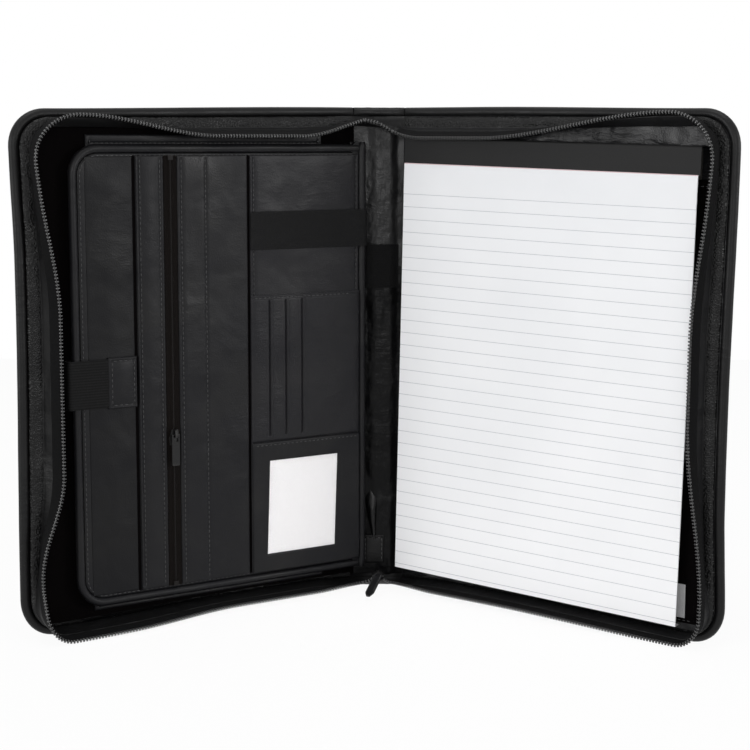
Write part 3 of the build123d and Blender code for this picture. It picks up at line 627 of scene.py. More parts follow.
CREASE_STRETCH = (0.35, 0.35, 1.0)
CREASE_DEPTH = 0.0022
PULL_DEPTH = 0.012


def leather(
    name, dark, light, roughness, specular, grain=1100.0, wrinkles=0.5, bump=0.3, sway=0.4, depth=0.0004
):
    """Black leather: a fine grain, wrinkles that come in patches, and worn lighter places."""
    made = Surface(name, roughness, specular)
    patches = made.noise(26.0, 5.0, 0.8)
    made.give("Base Color", made.mixed(made.ranged(patches, 0, 1, 0.38, 0.72), dark, light))
    made.give("Roughness", made.ranged(patches, roughness + 0.08, roughness - 0.12, 0.3, 0.75))
    cells = {"Vector": made.coords, "Scale": grain}
    fine = add_node(made.tree, "TexVoronoi", cells, feature="F1").outputs["Distance"]
    drawn = add_node(made.tree, "Mapping", {"Vector": made.coords, "Scale": CREASE_STRETCH}).outputs["Vector"]
    lines = made.math("POWER", made.noise(300.0, 6.0, 0.5, drawn), 2.0)
    creased = made.math("MULTIPLY", lines, made.ranged(made.noise(21.0), 0, 1, 0.4, 0.66))
    pull = made.noise(22.0, 2.5, 0.4)
    return made.finished((fine, bump * 0.5, depth), (creased, wrinkles, CREASE_DEPTH), (pull, sway, PULL_DEPTH))


def woven(name, dark, light, scale, roughness=0.85, bump=0.5, specular=0.12):
    """Cloth with a twill weave and loose fibres."""
    made = Surface(name, roughness, specular)
    fibre = made.noise(500.0)
    weave = made.math("MULTIPLY", made.waves(scale, "DIAGONAL"), made.waves(scale, "Z"))
    tone = made.ranged(made.math("MULTIPLY", weave, fibre), 0, 1, 0.05, 0.5)
    made.give("Base Color", made.mixed(tone, dark, light))
    return made.finished((weave, bump, 0.0003), (fibre, bump * 0.4, 0.0003))


def ribbed_elastic(name):
    """Elastic woven in ribs, with painted shade between them."""
    made = Surface(name, 0.7, 0.12)
    fibre = made.noise(900.0)
    # The base colour is dark in the grooves between the ribs and lighter on their crests: painted shade
    tone = made.math("MULTIPLY", made.mark("rib"), made.ranged(fibre, 0.6, 1.0, 0.3, 0.7))
    made.give("Base Color", made.mixed(tone, (0.001, 0.001, 0.0011), (0.0095, 0.0095, 0.0098)))
    return made.finished((fibre, 0.3, 0.0003))


def plain(name, dark, light, roughness, specular, scale, bump=0.15):
    """Moulded, painted or card surfaces with a fine unevenness."""
    made = Surface(name, roughness, specular)
    speckle = made.noise(scale, 4.0)
    made.give("Base Color", made.mixed(made.ranged(speckle, 0, 1, 0.3, 0.7), dark, light))
    made.give("Roughness", made.ranged(speckle, roughness - 0.06, roughness + 0.06))
    return made.finished((speckle, bump, 0.0002))


def painted_metal(name):
    """Black paint over zinc, rubbed bare where edges stand out."""
    made = Surface(name, 0.35, 0.28)
    speckle = made.noise(900.0, 4.0)
    edges = add_node(made.tree, "NewGeometry", {}).outputs["Pointiness"]
    worn = made.math("MULTIPLY", made.ranged(edges, 0, 0.8, 0.56, 0.75), speckle)
    made.give("Base Color", made.mixed(worn, (0.004, 0.004, 0.0042), (0.12, 0.115, 0.11)))
    made.give("Roughness", made.ranged(speckle, 0.26, 0.44))
    return made.finished((speckle, 0.08, 0.0001))


def ruled_paper(name):
    """White paper with fibre, painted shading that grows lighter towards the bottom over a random cloudy tone,
    pale ruled lines and a line of gum at its head.
    """
    made = Surface(name, 0.85, 0.2)
    down = made.mark("down")
    lines = made.math("DIVIDE", made.math("SUBTRACT", down, RULE_FIRST), RULE_PITCH)
    phase = made.math("FRACT", made.math("ADD", lines, 0.5))
    near = made.math("ABSOLUTE", made.math("SUBTRACT", phase, 0.5))
    on_line = made.math("LESS_THAN", near, RULE_W / RULE_PITCH / 2)
    inked = made.math("MULTIPLY", on_line, made.math("GREATER_THAN", lines, -0.5))
    gum = made.math("LESS_THAN", down, GUM_W)
    cloud = made.noise(14.0, 2.0)
    # Painted shading: the paper is made lighter towards the bottom, over a random cloudy tone
    shading_and_tone = made.ranged(made.math("ADD", made.math("MULTIPLY", down, 0.003), cloud), 0, 1, 0.3, 1.4)
    white = made.mixed(shading_and_tone, (0.82, 0.83, 0.85), (0.93, 0.932, 0.945))
    ruled = made.mixed(inked, white, (0.5, 0.52, 0.55))
    made.give("Base Color", made.mixed(gum, ruled, (0.72, 0.52, 0.55)))
    return made.finished((made.noise(700.0, 4.0), 0.08, 0.0001))


def page_edges(name):
    """The cut edges of a stack of sheets."""
    made = Surface(name, 0.9, 0.15)
    sheets = made.math("FRACT", made.math("MULTIPLY", made.mark("level"), 5.0))
    shade = made.math("MULTIPLY", sheets, made.noise(240.0))
    made.give("Base Color", made.mixed(shade, (0.84, 0.845, 0.855), (0.5, 0.505, 0.52)))
    return made.finished((sheets, 0.2, 0.0001))


def clear_film(name):
    """Thin clear film with faint scuffs."""
    made = Surface(name, 0.1, 0.5)
    scuffs = made.noise(120.0, 5.0, 2.0)
    made.give("Roughness", made.ranged(scuffs, 0.03, 0.2, 0.4, 0.8))
    clear = {"Base Color": (0.95, 0.95, 0.95, 1.0), "Transmission Weight": 1.0, "IOR": 1.05, "Alpha": 0.3}
    for socket, value in clear.items():
        made.bsdf.inputs[socket].default_value = value
    return made.finished((scuffs, 0.03, 0.0001))


COVER_LEATHER = leather(
    "cover_leather", (0.0035, 0.0035, 0.0037), (0.0055, 0.0055, 0.0057), 0.42, 0.2, wrinkles=0.3, sway=0.08
)
GUSSET_LEATHER = leather("gusset_leather", (0.003, 0.003, 0.0032), (0.0055, 0.0055, 0.0057), 0.45, 0.16)
PANEL_LEATHER = leather(
    "panel_leather", (0.007, 0.007, 0.0083), (0.0118, 0.0116, 0.012), 0.4, 0.16, wrinkles=0.13, sway=0.22
)
# Lit and shaded copies of one spine leather: the upper is lighter as painted light, the lower darker as painted
# shade
UPPER_SPINE_LIT_LEATHER = leather("spine_leather", (0.003, 0.003, 0.0033), (0.012, 0.012, 0.0124), 0.32, 0.26)
LOW_SPINE_SHADED_LEATHER = leather("low_spine_shaded_leather", (0.001, 0.001, 0.0012), (0.005, 0.005, 0.0053), 0.32, 0.1)
# Back lining leather: grain and random tone, with its wide light patches partly painted sheen of highlight
# blotches
SHEET_LEATHER_PAINTED_SHEEN = leather(
    "sheet_leather_painted_sheen", (0.003, 0.003, 0.0038), (0.015, 0.015, 0.0162), 0.3, 0.22, wrinkles=0.9, sway=0.6
)
WELT_LEATHER = leather(
    "welt_leather", (0.0012, 0.0012, 0.0014), (0.005, 0.005, 0.005), 0.32, 0.2, 900.0, 0.7, 1.2, depth=0.0006
)
PLEAT_LEATHER = leather(
    "pleat_leather", (0.002, 0.002, 0.0022), (0.007, 0.007, 0.0073), 0.26, 0.22, wrinkles=0.2, sway=0.1
)
# Shaded copy of the panel leather for the first column: its darker base colour is painted shade
FIRST_COLUMN_SHADED_LEATHER = leather(
    "first_column_shaded_leather", (0.005, 0.005, 0.006), (0.0085, 0.0084, 0.0088), 0.42, 0.14, wrinkles=0.13, sway=0.22
)
# Lit copy of the panel leather for the card column: its lighter base colour is painted light
CARD_COLUMN_LIT_LEATHER = leather(
    "card_column_lit_leather", (0.0095, 0.0093, 0.0112), (0.0145, 0.0142, 0.0152), 0.4, 0.17, wrinkles=0.13, sway=0.22
)
# Lit copy of the gusset leather for the back wall: its lighter base colour is painted light
BACK_GUSSET_LIT_LEATHER = leather("back_gusset_lit_leather", (0.006, 0.006, 0.0065), (0.012, 0.012, 0.0125), 0.42, 0.2)
LINING_CLOTH = woven("lining_cloth", (0.0012, 0.0008, 0.0009), (0.0028, 0.002, 0.0022), 900.0, 0.9, 0.4, 0.04)
TAPE_CLOTH = woven("zip_tape_cloth", (0.0025, 0.0025, 0.0027), (0.0065, 0.0065, 0.0068), 1400.0, 0.75, 0.5, 0.1)
POCKET_TAPE = woven("pocket_tape_cloth", (0.004, 0.003, 0.0026), (0.0105, 0.0082, 0.0075), 1400.0, 0.8, 0.5, 0.08)
ELASTIC_CLOTH = woven("elastic_cloth", (0.0075, 0.0075, 0.0078), (0.0155, 0.0155, 0.0158), 1200.0, 0.75)
# Shaded copy of the elastic cloth for the pen loop: its darker base colour is painted shade
PEN_LOOP_SHADED_CLOTH = woven("pen_loop_shaded_cloth", (0.003, 0.003, 0.0032), (0.008, 0.008, 0.0082), 1200.0, 0.8, 0.5, 0.1)
RIBBED_CLOTH = ribbed_elastic("ribbed_elastic")
NAP = woven("hook_and_loop_nap", (0.004, 0.004, 0.004), (0.012, 0.012, 0.012), 2200.0, 0.95, 1.0)
LABEL_CLOTH = woven("label_cloth", (0.45, 0.45, 0.455), (0.58, 0.58, 0.585), 1600.0, 0.6)
THREAD = plain("thread", (0.022, 0.022, 0.023), (0.05, 0.05, 0.051), 0.42, 0.4, 3000.0)
COIL = plain("coil_nylon", (0.012, 0.012, 0.0123), (0.03, 0.03, 0.0304), 0.24, 0.75, 2500.0)
POCKET_COIL = plain("pocket_coil_nylon", (0.004, 0.0032, 0.003), (0.009, 0.0075, 0.007), 0.5, 0.15, 2500.0)
METAL = painted_metal("painted_metal")
STIFF_BOARD = plain("dark_board", (0.03, 0.028, 0.026), (0.05, 0.047, 0.043), 0.9, 0.15, 500.0, 0.3)
BINDING_PAPER = plain("binding_paper", (0.0115, 0.0115, 0.0117), (0.0155, 0.0155, 0.0157), 0.55, 0.16, 1200.0)
CARD_STOCK = plain("card_stock", (0.86, 0.845, 0.85), (0.9, 0.885, 0.89), 0.7, 0.25, 900.0)
PAPER = ruled_paper("ruled_paper")
PAGES = page_edges("page_edges")
FILM = clear_film("clear_film")


# Covers
def flat_ring(side, near, far, low, high, inset, radius, runs=(40, 52, 40)):
    """Outline of a flat, open at its crease edge and rounded at the two outer corners: u, then v."""
    reach = side * (far - inset)
    near = side * near
    low, high = low + inset, high - inset
    corners = ((near, low), (reach, low), (reach, high), (near, high))
    return rounded_line(corners, [max(radius - inset, 2.0)] * 2, runs).T


def soft_edge(side, u, v, share=1.0):
    """Shifts points of a cover's edge: its side dips in and its top swells up towards the spine."""
    away = np.abs(u)
    at_side = smooth((away - 180) / 50)
    at_top = smooth((v - 290) / 25)
    sag = CORNER_SAG * smooth((away - 90) / 140) * smooth((40 - v) / 40)
    if side == FRONT_SIDE:
        dip = FRONT_SIDE_DIP * smooth((v - 20) / 190) * smooth((318 - v) / 90)
        rise = SPINE_TOP_RISE * (1 - smooth(away / 230)) ** 0.8
    else:
        dip = BACK_SIDE_DIP * smooth(v / 90) * smooth((318 - v) / 190)
        rise = SPINE_TOP_RISE * (1 - 0.65 * smooth((away - 60) / 170))
    return u - side * share * dip * at_side, v + share * rise * at_top - sag


def dished(rings):
    """A solid whose skin runs through open rings, flat at both ends and along its crease edge."""
    rings = np.array(rings)
    count, size = rings.shape[:2]
    faces = grid_faces(count, size)
    faces.append(list(range(size)))
    faces.append([(count - 1) * size + spot for spot in range(size)][::-1])
    starts = [ring * size for ring in range(count)]
    ends = [ring * size + size - 1 for ring in range(count)]
    faces.append(starts + ends[::-1])
    return rings.reshape(-1, 3), faces


def build_shell(name, board, side):
    """Leather cover with a rolled edge, slightly crowned outside, sewn all round."""
    body = f"{name}_cover"
    rings = []
    for inset, height in RIM_SECTION:
        u, v = soft_edge(side, *flat_ring(side, CREASE_GAP, COVER_W, 0, COVER_H, inset, CORNER_R))
        puff = min(0.0, height + COVER_T)
        bead = max(0.0, height - BEAD_FOOT_N)
        from_fold = smooth(np.abs(u) / FOLD_FADE)
        spots = board.at(u, v, height - puff * (1 - smooth(np.abs(u) / PUFF_FADE)) - bead * (1 - from_fold))
        uneven = 0.0 if inset == RIM_W else RIM_CRUMPLE
        crumple = uneven * from_fold * (ripple(spots, 0.06, 1) + 0.5 * ripple(spots, 0.2, 2))
        rings.append(spots + crumple[:, None] * board.out)
    add_piece(body, dished(rings), COVER_LEATHER, body, [f"{name}_shell"])

    thread = Batch()
    line = flat_ring(side, 2.0, COVER_W, 0, COVER_H, OUTER_SEAM_INSET, CORNER_R)
    sew(thread, board.at(*soft_edge(side, *line), OUTER_SEAM_N), -board.out)
    add_piece(f"{name}_cover_stitching", thread.form(), THREAD, body)


def build_lining(name, board, side, material):
    """Lining sheet inside a cover's edge."""
    reach = measure(board, f"{name}_lining")
    far = max(abs(reach.u0), abs(reach.u1)) + LINING_TUCK
    low, high = reach.v0 - LINING_TUCK, reach.v1 + LINING_TUCK
    rings = []
    for inset, height in ((LINING_SECTION[0][0], reach.n0), *LINING_SECTION):
        line = flat_ring(side, LINING_GAP, far, low, high, inset, CORNER_R - RIM_W)
        rings.append(board.at(*soft_edge(side, *line), height))
    sheet = add_piece(
        f"{name}_lining_sheet", dished(rings), material, f"{name}_cover", [f"{name}_lining"]
    )


# Gusset walls and zip
def wall_line(side, lean, inset):
    """Line of the gusset wall round three sides of a cover; lean is 0 at its foot and 1 at its free edge."""
    stand_in = WALL_INSET + lean * CORNER_LEAN + inset
    radii = [(1 - lean) * FOOT_CORNER_R + lean * free - inset for free in (FREE_LOW_CORNER_R, FREE_CORNER_R)]
    near = side * WALL_END
    far = side * (COVER_W - stand_in)
    low = WALL_INSET - lean * FLOOR_LEAN + inset
    high = COVER_H - stand_in
    line = rounded_line(((near, low), (far, low), (far, high), (near, high)), radii, (90, 130, 90), 24)
    u, v = soft_edge(side, *line.T, 1 - lean)
    away = np.abs(u)
    at_top = smooth((v - 250) / 50)
    if side == FRONT_SIDE:
        bow = FRONT_BOW * smooth((v - 38) / 64) * smooth((308 - v) / 110) - 0.8 * smooth((90 - v) / 40)
        droop = FRONT_DROOP * smooth((away + 14) / 62) * smooth((202 - away) / 92) - FRONT_CORNER_RISE
    else:
        bow = BACK_BOW * smooth((v - 26) / 110) * smooth((306 - v) / 120)
        droop = BACK_DROOP * smooth((away + 40) / 62) * smooth((204 - away) / 134) - BACK_CORNER_RISE
    at_floor = smooth((38 - away) / 34) * smooth((60 - v) / 20)
    belly = FLOOR_BELLY * 4 * lean * (1 - lean)
    return u - side * lean * bow, v + at_floor * (FLOOR_RISE * lean - belly) - lean * droop * at_top


def wall_points(side, n, inset):
    """Points round the wall at one level: its line, flared at the lower corner."""
    lean = n / WALL_H
    u, v = wall_line(side, lean, inset)
    flare, start, run = (FRONT_FLARE, 100, 80) if side == FRONT_SIDE else (BACK_FLARE, 60, 90)
    return u, v, n + flare * lean * smooth((34 - v) / 30) * smooth((np.abs(u) - start) / run)


def wall_surfaces(board, side, levels, thickness, wrinkle, seed):
    """Outer and inner face of the wall through levels of height, inward set and share of the wrinkles."""
    outer = []
    inner = []
    for n, set_in, share in levels:
        inset = min(set_in, 0.0)
        u, v, level = wall_points(side, n, inset)
        u_in, v_in, level_in = wall_points(side, n, inset + thickness)
        inward = np.stack((u_in - u, v_in - v), axis=1)
        inward_u, inward_v = (inward / np.linalg.norm(inward, axis=1, keepdims=True)).T
        shift = (set_in - inset) * smooth((v - 16) / 30)
        spots = board.at(u, v, level)
        move = shift - wrinkle * share * (ripple(spots, 0.09, seed) + 0.8 * ripple(spots, 0.35, seed + 1))
        outer.append(board.at(u + move * inward_u, v + move * inward_v, level))
        inner.append(board.at(u_in + shift * inward_u, v_in + shift * inward_v, level_in))
    return np.array(outer), np.array(inner)


def coil_along(line, out):
    """Zip coil: a cord with a tooth at every pitch."""
    coil = Batch()
    coil.add(*swept(line + CORD_R * out, out, round_profile(CORD_R, 8)))
    repeated(coil, line, out, TOOTH_PITCH, tooth_form(TOOTH_L, TOOTH_W, TOOTH_H))
    return coil.form()


def build_wall(name, board, side, leather_of_wall):
    """Gusset, zip tape and zip coil round three sides of a cover."""
    body = f"{name}_cover"
    of_wall = (GUSSET_T, WALL_WRINKLE, WALL_SEED)
    of_tape = (TAPE_T, TAPE_WRINKLE, TAPE_SEED)
    for part, levels, skin, material, nodes, slot in (
        ("welt", WELT_LEVELS, of_wall, WELT_LEATHER, [], "gusset_leather"),
        ("gusset_wall", GUSSET_LEVELS, of_wall, leather_of_wall, [f"{name}_gusset"], "gusset_leather"),
        ("tape", TAPE_LEVELS, of_tape, TAPE_CLOTH, [f"{name}_zip_tape"], "zip_tape"),
    ):
        form = closed_sheet(*wall_surfaces(board, side, levels, *skin))
        add_piece(f"{name}_{part}", form, material, body, nodes)
    coil = coil_along(board.at(*wall_points(side, WALL_H, TAPE_T / 2)), board.out)
    add_piece(f"{name}_coil", coil, COIL, body, [f"{name}_zip_chain"])


build_shell("front", FRONT, FRONT_SIDE)
build_shell("back", BACK, BACK_SIDE)
build_lining("front", FRONT, FRONT_SIDE, LINING_CLOTH)
# The back lining's light patches are partly painted sheen
build_lining("back", BACK, BACK_SIDE, SHEET_LEATHER_PAINTED_SHEEN)
build_wall("front", FRONT, FRONT_SIDE, GUSSET_LEATHER)
# The back wall takes the lighter copy of the gusset leather as painted light
build_wall("back", BACK, BACK_SIDE, BACK_GUSSET_LIT_LEATHER)


# Panels
def spaced(low, high, edge, step, extra=()):
    """Grid positions: close together at both ends, even between, and close beside the extra ones."""
    ends = np.array((0.0, 0.07, 0.25, 0.55, 1.0)) * edge
    inner = np.linspace(low + edge, high - edge, max(2, int((high - low) / step)))
    beside = [place + shift for place in extra for shift in (-1.4, -0.7, -0.3, 0, 0.3, 0.7, 1.4)]
    spots = np.unique(np.round(np.concatenate((low + ends, inner, high - ends, beside)), 3))
    return spots[(spots >= low) & (spots <= high)]


def edge_room(reach, u, v):
    """How far places lie inside an extent's nearest edge."""
    return np.minimum.reduce((u - reach.u0, reach.u1 - u, v - reach.v0, reach.v1 - v))


def seam_line(axis, place, start, end):
    """Places along a seam that runs up (axis u) or across (axis v)."""
    run = np.linspace(start, end, SEAM_STEPS)
    fixed = np.full(SEAM_STEPS, place)
    return (fixed, run) if axis == "u" else (run, fixed)


def panel(
    name, board, reach, material, body, nodes, slot, seams=(), thread=None, edge=PANEL_EDGE, puff=0.35,
    wave=0.16, lip=0.0, lip_low=None,
):
    """A sewn leather panel: turned edges, a little loft, sunken seams with their stitches, a raised left lip."""
    across = [place for axis, place, start, end in seams if axis == "u"]
    upright = [place for axis, place, start, end in seams if axis == "v"]
    u, v = np.meshgrid(
        spaced(reach.u0, reach.u1, edge, PANEL_STEP_U, across),
        spaced(reach.v0, reach.v1, edge, PANEL_STEP_V, upright),
    )

    def height(u, v):
        room = edge_room(reach, u, v)
        turn = np.clip(room / edge, 0, 1)
        level = (reach.n1 - reach.n0) * (0.2 + 0.8 * np.sqrt(1 - (1 - turn) ** 2)) + puff * smooth((room - 1) / 14)
        spots = board.at(u, v, 0)
        level = level + wave * (ripple(spots, 0.035, 7) + 0.35 * ripple(spots, 0.13, 8)) * smooth(room / 6)
        raised = 1.0 if lip_low is None else smooth((v - lip_low) / 4)
        in_u = u - reach.u0
        level = level + lip * raised * smooth(in_u / 0.6) * (1 - smooth((in_u - 0.8) / 2.4))
        for axis, place, start, end in seams:
            off, run = (u - place, v) if axis == "u" else (v - place, u)
            inside = smooth((run - start) / 1.5 + 1) * smooth((end - run) / 1.5 + 1)
            level = level - SEAM_DEPTH * np.exp(-(off / SEAM_W) ** 2) * inside
        return reach.n0 + level

    obj = add_piece(name, plate(board, u, v, height(u, v), reach.n0), material, body, nodes)
    for seam in seams:
        line = seam_line(*seam)
        sew(thread, board.at(*line, height(*line) + STITCH_LIFT), board.out)
    return obj


def inset_extent(reach, amount):
    """An extent made smaller all round."""
    return reach._replace(u0=reach.u0 + amount, u1=reach.u1 - amount, v0=reach.v0 + amount, v1=reach.v1 - amount)


# Organiser
ORGANISER_THREAD = Batch()


def organiser_layer(name, node, material, levels, seam=None):
    """One sheet of the organiser with rounded free corners, through levels of inset and height."""
    reach = measure(FRONT, node)
    outline = (FRONT_SIDE, -reach.u1, -reach.u0, reach.v0, reach.v1)
    rings = [FRONT.at(*flat_ring(*outline, inset, LAYER_CORNER_R), height) for inset, height in levels]
    add_piece(name, dished(rings), material, "organiser", [node])
    if seam is not None:
        path = FRONT.at(*flat_ring(*outline, seam, LAYER_CORNER_R), reach.n1 + 0.05)
        sew(ORGANISER_THREAD, path, FRONT.out)


def build_organiser_layers():
    """Leather face and lined back of the organiser."""
    low, high = measure(FRONT, "organiser_face")[-2:]
    levels = ((0.0, low), (0.0, high - 0.5), (0.5, high - 0.15), (1.2, high - 0.2), (2.4, high), (4.0, high))
    organiser_layer("organiser_face_leather", "organiser_face", PANEL_LEATHER, levels, FACE_SEAM_INSET)
    low, high = measure(FRONT, "organiser_back")[-2:]
    levels = ((0.0, high), (0.0, low + 0.3), (0.4, low), (3.0, low - 0.05))
    organiser_layer("organiser_back_leather", "organiser_back", LINING_CLOTH, levels)


def add_edge(name, form, material, slot):
    """A soft piece that reaches over the fold, fixed in place where it lies."""
    start = FRONT.at(EDGE_BEND_U, 0, EDGE_ROLL_N)
    end = FRONT.at(EDGE_ROLL_U + EDGE_ROLL_R, 0, EDGE_ROLL_N)
    add_bending(name, form, material, ("front_cover", "spine"), start, end, [], slot)


def around_roll(radius, first, last):
    """Points in u and n round the roll beside the fold, between two angles."""
    turns = np.radians(np.linspace(first, last, 16))
    return np.stack((EDGE_ROLL_U + radius * np.cos(turns), EDGE_ROLL_N + radius * np.sin(turns)), axis=1)


def build_bindings():
    """Piped edges of the organiser: leather rolled over a cord, with a sewn lip on its inner side."""
    reach = measure(FRONT, "organiser_binding")
    radius = (reach.n1 - reach.n0) / 2
    line = flat_ring(
        FRONT_SIDE, -COLUMN_EDGE_U, -reach.u0, reach.v0, reach.v1, radius, PIPING_CORNER_R, (70, 90, 70)
    )
    path = FRONT.at(*line, (reach.n0 + reach.n1) / 2)
    swell = 1 + 0.05 * ripple(path, 0.05, 11) + 0.025 * ripple(path, 0.3, 12)
    piping = swept(path, FRONT.out, round_profile(radius * 0.98, 14), swell)
    add_piece("organiser_piping", piping, PANEL_LEATHER, "organiser", ["organiser_binding"])

    reach = measure(FRONT, "organiser_edge_binding")
    ends = np.array((0.0, 0.4, 1.2, 2.4))
    v = np.concatenate((reach.v0 + ends, np.linspace(reach.v0 + 4, reach.v1 - 4, 90), reach.v1 - ends[::-1]))
    section = np.concatenate((around_roll(EDGE_ROLL_R, -120, 165), EDGE_LIP))
    middle = np.array((EDGE_ROLL_U, EDGE_ROLL_N))
    full = np.sqrt(np.clip(np.minimum(v - reach.v0, reach.v1 - v) / EDGE_ROLL_R, 0.1, 1))
    spots = middle + (section - middle) * (0.55 + 0.45 * full)[:, None, None]
    rings = FRONT.at(spots[..., 0], v[:, None], spots[..., 1])
    crumple = 0.22 * ripple(rings, 0.07, 13) + 0.12 * ripple(rings, 0.3, 14)
    add_edge("fold_roll", lofted(rings + crumple[..., None] * FRONT.out), PANEL_LEATHER, "panel_leather")
    panel(
        "organiser_edge_strip", FRONT, reach._replace(n1=EDGE_STRIP_N), PANEL_LEATHER, "organiser",
        ["organiser_edge_binding"], "panel_leather", puff=0.0,
    )


def organiser_panel(node, name, material, seams, low=None, **form):
    """One panel of the organiser in the place of its solid; the card column runs on to the edge roll."""
    reach = measure(FRONT, node)
    if reach.u1 > COLUMN_U:
        reach = reach._replace(u0=reach.u0 - MOUTH_LAP, u1=COLUMN_EDGE_U)
    elif node == "zip_pocket_panel":
        reach = reach._replace(u1=reach.u1 + MOUTH_LAP, n1=reach.n1 - CARD_ROOM)
    lines = [("u", getattr(reach, side) + shift, low or reach.v0 + 2, reach.v1 - 2) for side, shift in seams]
    panel(
        name, FRONT, reach, material, "organiser", [node], "panel_leather", lines, ORGANISER_THREAD, lip_low=low,
        **form,
    )


def build_pocket_mouths():
    """Plain first column, and dark lining sheets in the two pocket openings beside raised edges, put there as
    painted shade of the openings.
    """
    face = measure(FRONT, "organiser_face")
    strip = measure(FRONT, "pocket_strip")
    column = measure(FRONT, "card_base")
    zip_side = measure(FRONT, "zip_pocket_panel")
    first = Extent(face.u0 + 4.5, strip.u0 - MOUTH_W, strip.v0 + 0.6, strip.v1 - 0.6, face.n1, face.n1 + 0.5)
    # The first column takes the darker copy of the panel leather as painted shade
    panel("first_column_shaded_leather", FRONT, first, FIRST_COLUMN_SHADED_LEATHER, "organiser", [], "panel_leather", puff=0.7)
    # Dark lining cloth laid in each opening stands in for the shade there: painted shade
    batch = Batch()
    for left, right in ((strip.u0 - MOUTH_W, strip.u0 + 0.4), (zip_side.u1, column.u0 + 0.4)):
        u, v = field(strip._replace(u0=left, u1=right), 6, 60)
        ruck = 0.05 * ripple(FRONT.at(u, v, 0), 0.2, 23)
        batch.add(*plate(FRONT, u, v, face.n1 + 0.12 + ruck, face.n1 + 0.02))
    add_piece("pocket_mouth_shade_lining", batch.form(), LINING_CLOTH, "organiser", [])


def column_extent(node):
    """Extent of a piece on the card column, from the pocket's mouth to the edge roll."""
    reach = measure(FRONT, node)
    return reach._replace(u0=reach.u0 - MOUTH_LAP, u1=COLUMN_EDGE_U)


def build_card_panel():
    """Card pocket: one leather piece with three slits, each with its turned lips."""
    reach = column_extent("card_panel")
    solid = FRONT.local(node_points("card_panel"))
    walls = solid[(solid[:, 1] > reach.v0 + 1) & (solid[:, 1] < reach.v1 - 1)]
    slit_v = (walls[:, 1].min(), walls[:, 1].max())
    edges = np.unique(np.round(walls[:, 0], 2))
    slits = [(edges[index] + edges[index + 1]) / 2 for index in range(0, len(edges) - 1, 2)]
    beside = slits + [slit + shift for slit in slits for shift in (-2.0, 2.0)]
    seam_v = reach.v1 - 2.0
    seam_u = reach.u0 + 2.4
    u, v = np.meshgrid(
        spaced(reach.u0, reach.u1, PANEL_EDGE, PANEL_STEP_U, beside),
        spaced(reach.v0, reach.v1, PANEL_EDGE, PANEL_STEP_U, slit_v),
    )

    def height(u, v):
        room = edge_room(reach, u, v)
        level = (reach.n1 - reach.n0) * (0.25 + 0.75 * smooth(room / 1.2)) + 0.2 * smooth(room / 15)
        within = smooth((v - slit_v[0]) / 0.8) * smooth((slit_v[1] - v) / 0.8)
        for slit in slits:
            off = u - slit
            level = level - SLIT_DEPTH * within * np.exp(-(off / SLIT_W) ** 2)
            level = level + SLIT_LIP_H * within * np.exp(-((off - SLIT_LIP_OFF) / SLIT_LIP_W) ** 2)
        for off in (v - seam_v, u - seam_u):
            level = level - SEAM_DEPTH * np.exp(-(off / SEAM_W) ** 2)
        return reach.n0 + np.maximum(level, 0.06)

    form = plate(FRONT, u, v, height(u, v), reach.n0)
    nodes = ["card_panel", "card_pockets"]
    # The card pocket takes the lighter copy of the panel leather as painted light
    add_piece("card_pocket_leather", form, CARD_COLUMN_LIT_LEATHER, "organiser", nodes)
    for seam in (("v", seam_v, reach.u0 + 2, reach.u1 - 8), ("u", seam_u, reach.v0 + 2, reach.v1 - 2)):
        line = seam_line(*seam)
        sew(ORGANISER_THREAD, FRONT.at(*line, height(*line) + STITCH_LIFT), FRONT.out)


def frame_sheet(reach, opening, thickness, n0, edge):
    """A panel with a rectangular window, its edges turned in all round."""
    rings = [
        (inset_extent(reach, share * edge), level)
        for share, level in ((0.0, 0.25), (0.15, 0.75), (0.6, 1.0), (1.0, 1.02))
    ] + [
        (inset_extent(opening, -share * edge), level)
        for share, level in ((1.0, 1.02), (0.5, 0.95), (0.15, 0.75), (0.0, 0.3))
    ]
    loops = []
    for box, level in rings + [(opening, 0.0), (reach, 0.0)]:
        lean = 0.0 if box.u0 < opening.u0 - edge - 0.1 else WINDOW_SKEW
        corners = np.array(
            ((box.u0 + lean, box.v0), (box.u1 + lean, box.v0), (box.u1, box.v1), (box.u0, box.v1))
        )
        legs = [np.linspace(corners[k], corners[(k + 1) % 4], 24, endpoint=False) for k in range(4)]
        loops.append(FRONT.at(*np.concatenate(legs).T, n0 + level * thickness))
    size = len(loops[0])
    faces = []
    for here in range(len(loops)):
        there = (here + 1) % len(loops)
        for spot in range(size):
            after = (spot + 1) % size
            faces.append([here * size + spot, here * size + after, there * size + after, there * size + spot])
    return np.concatenate(loops), faces


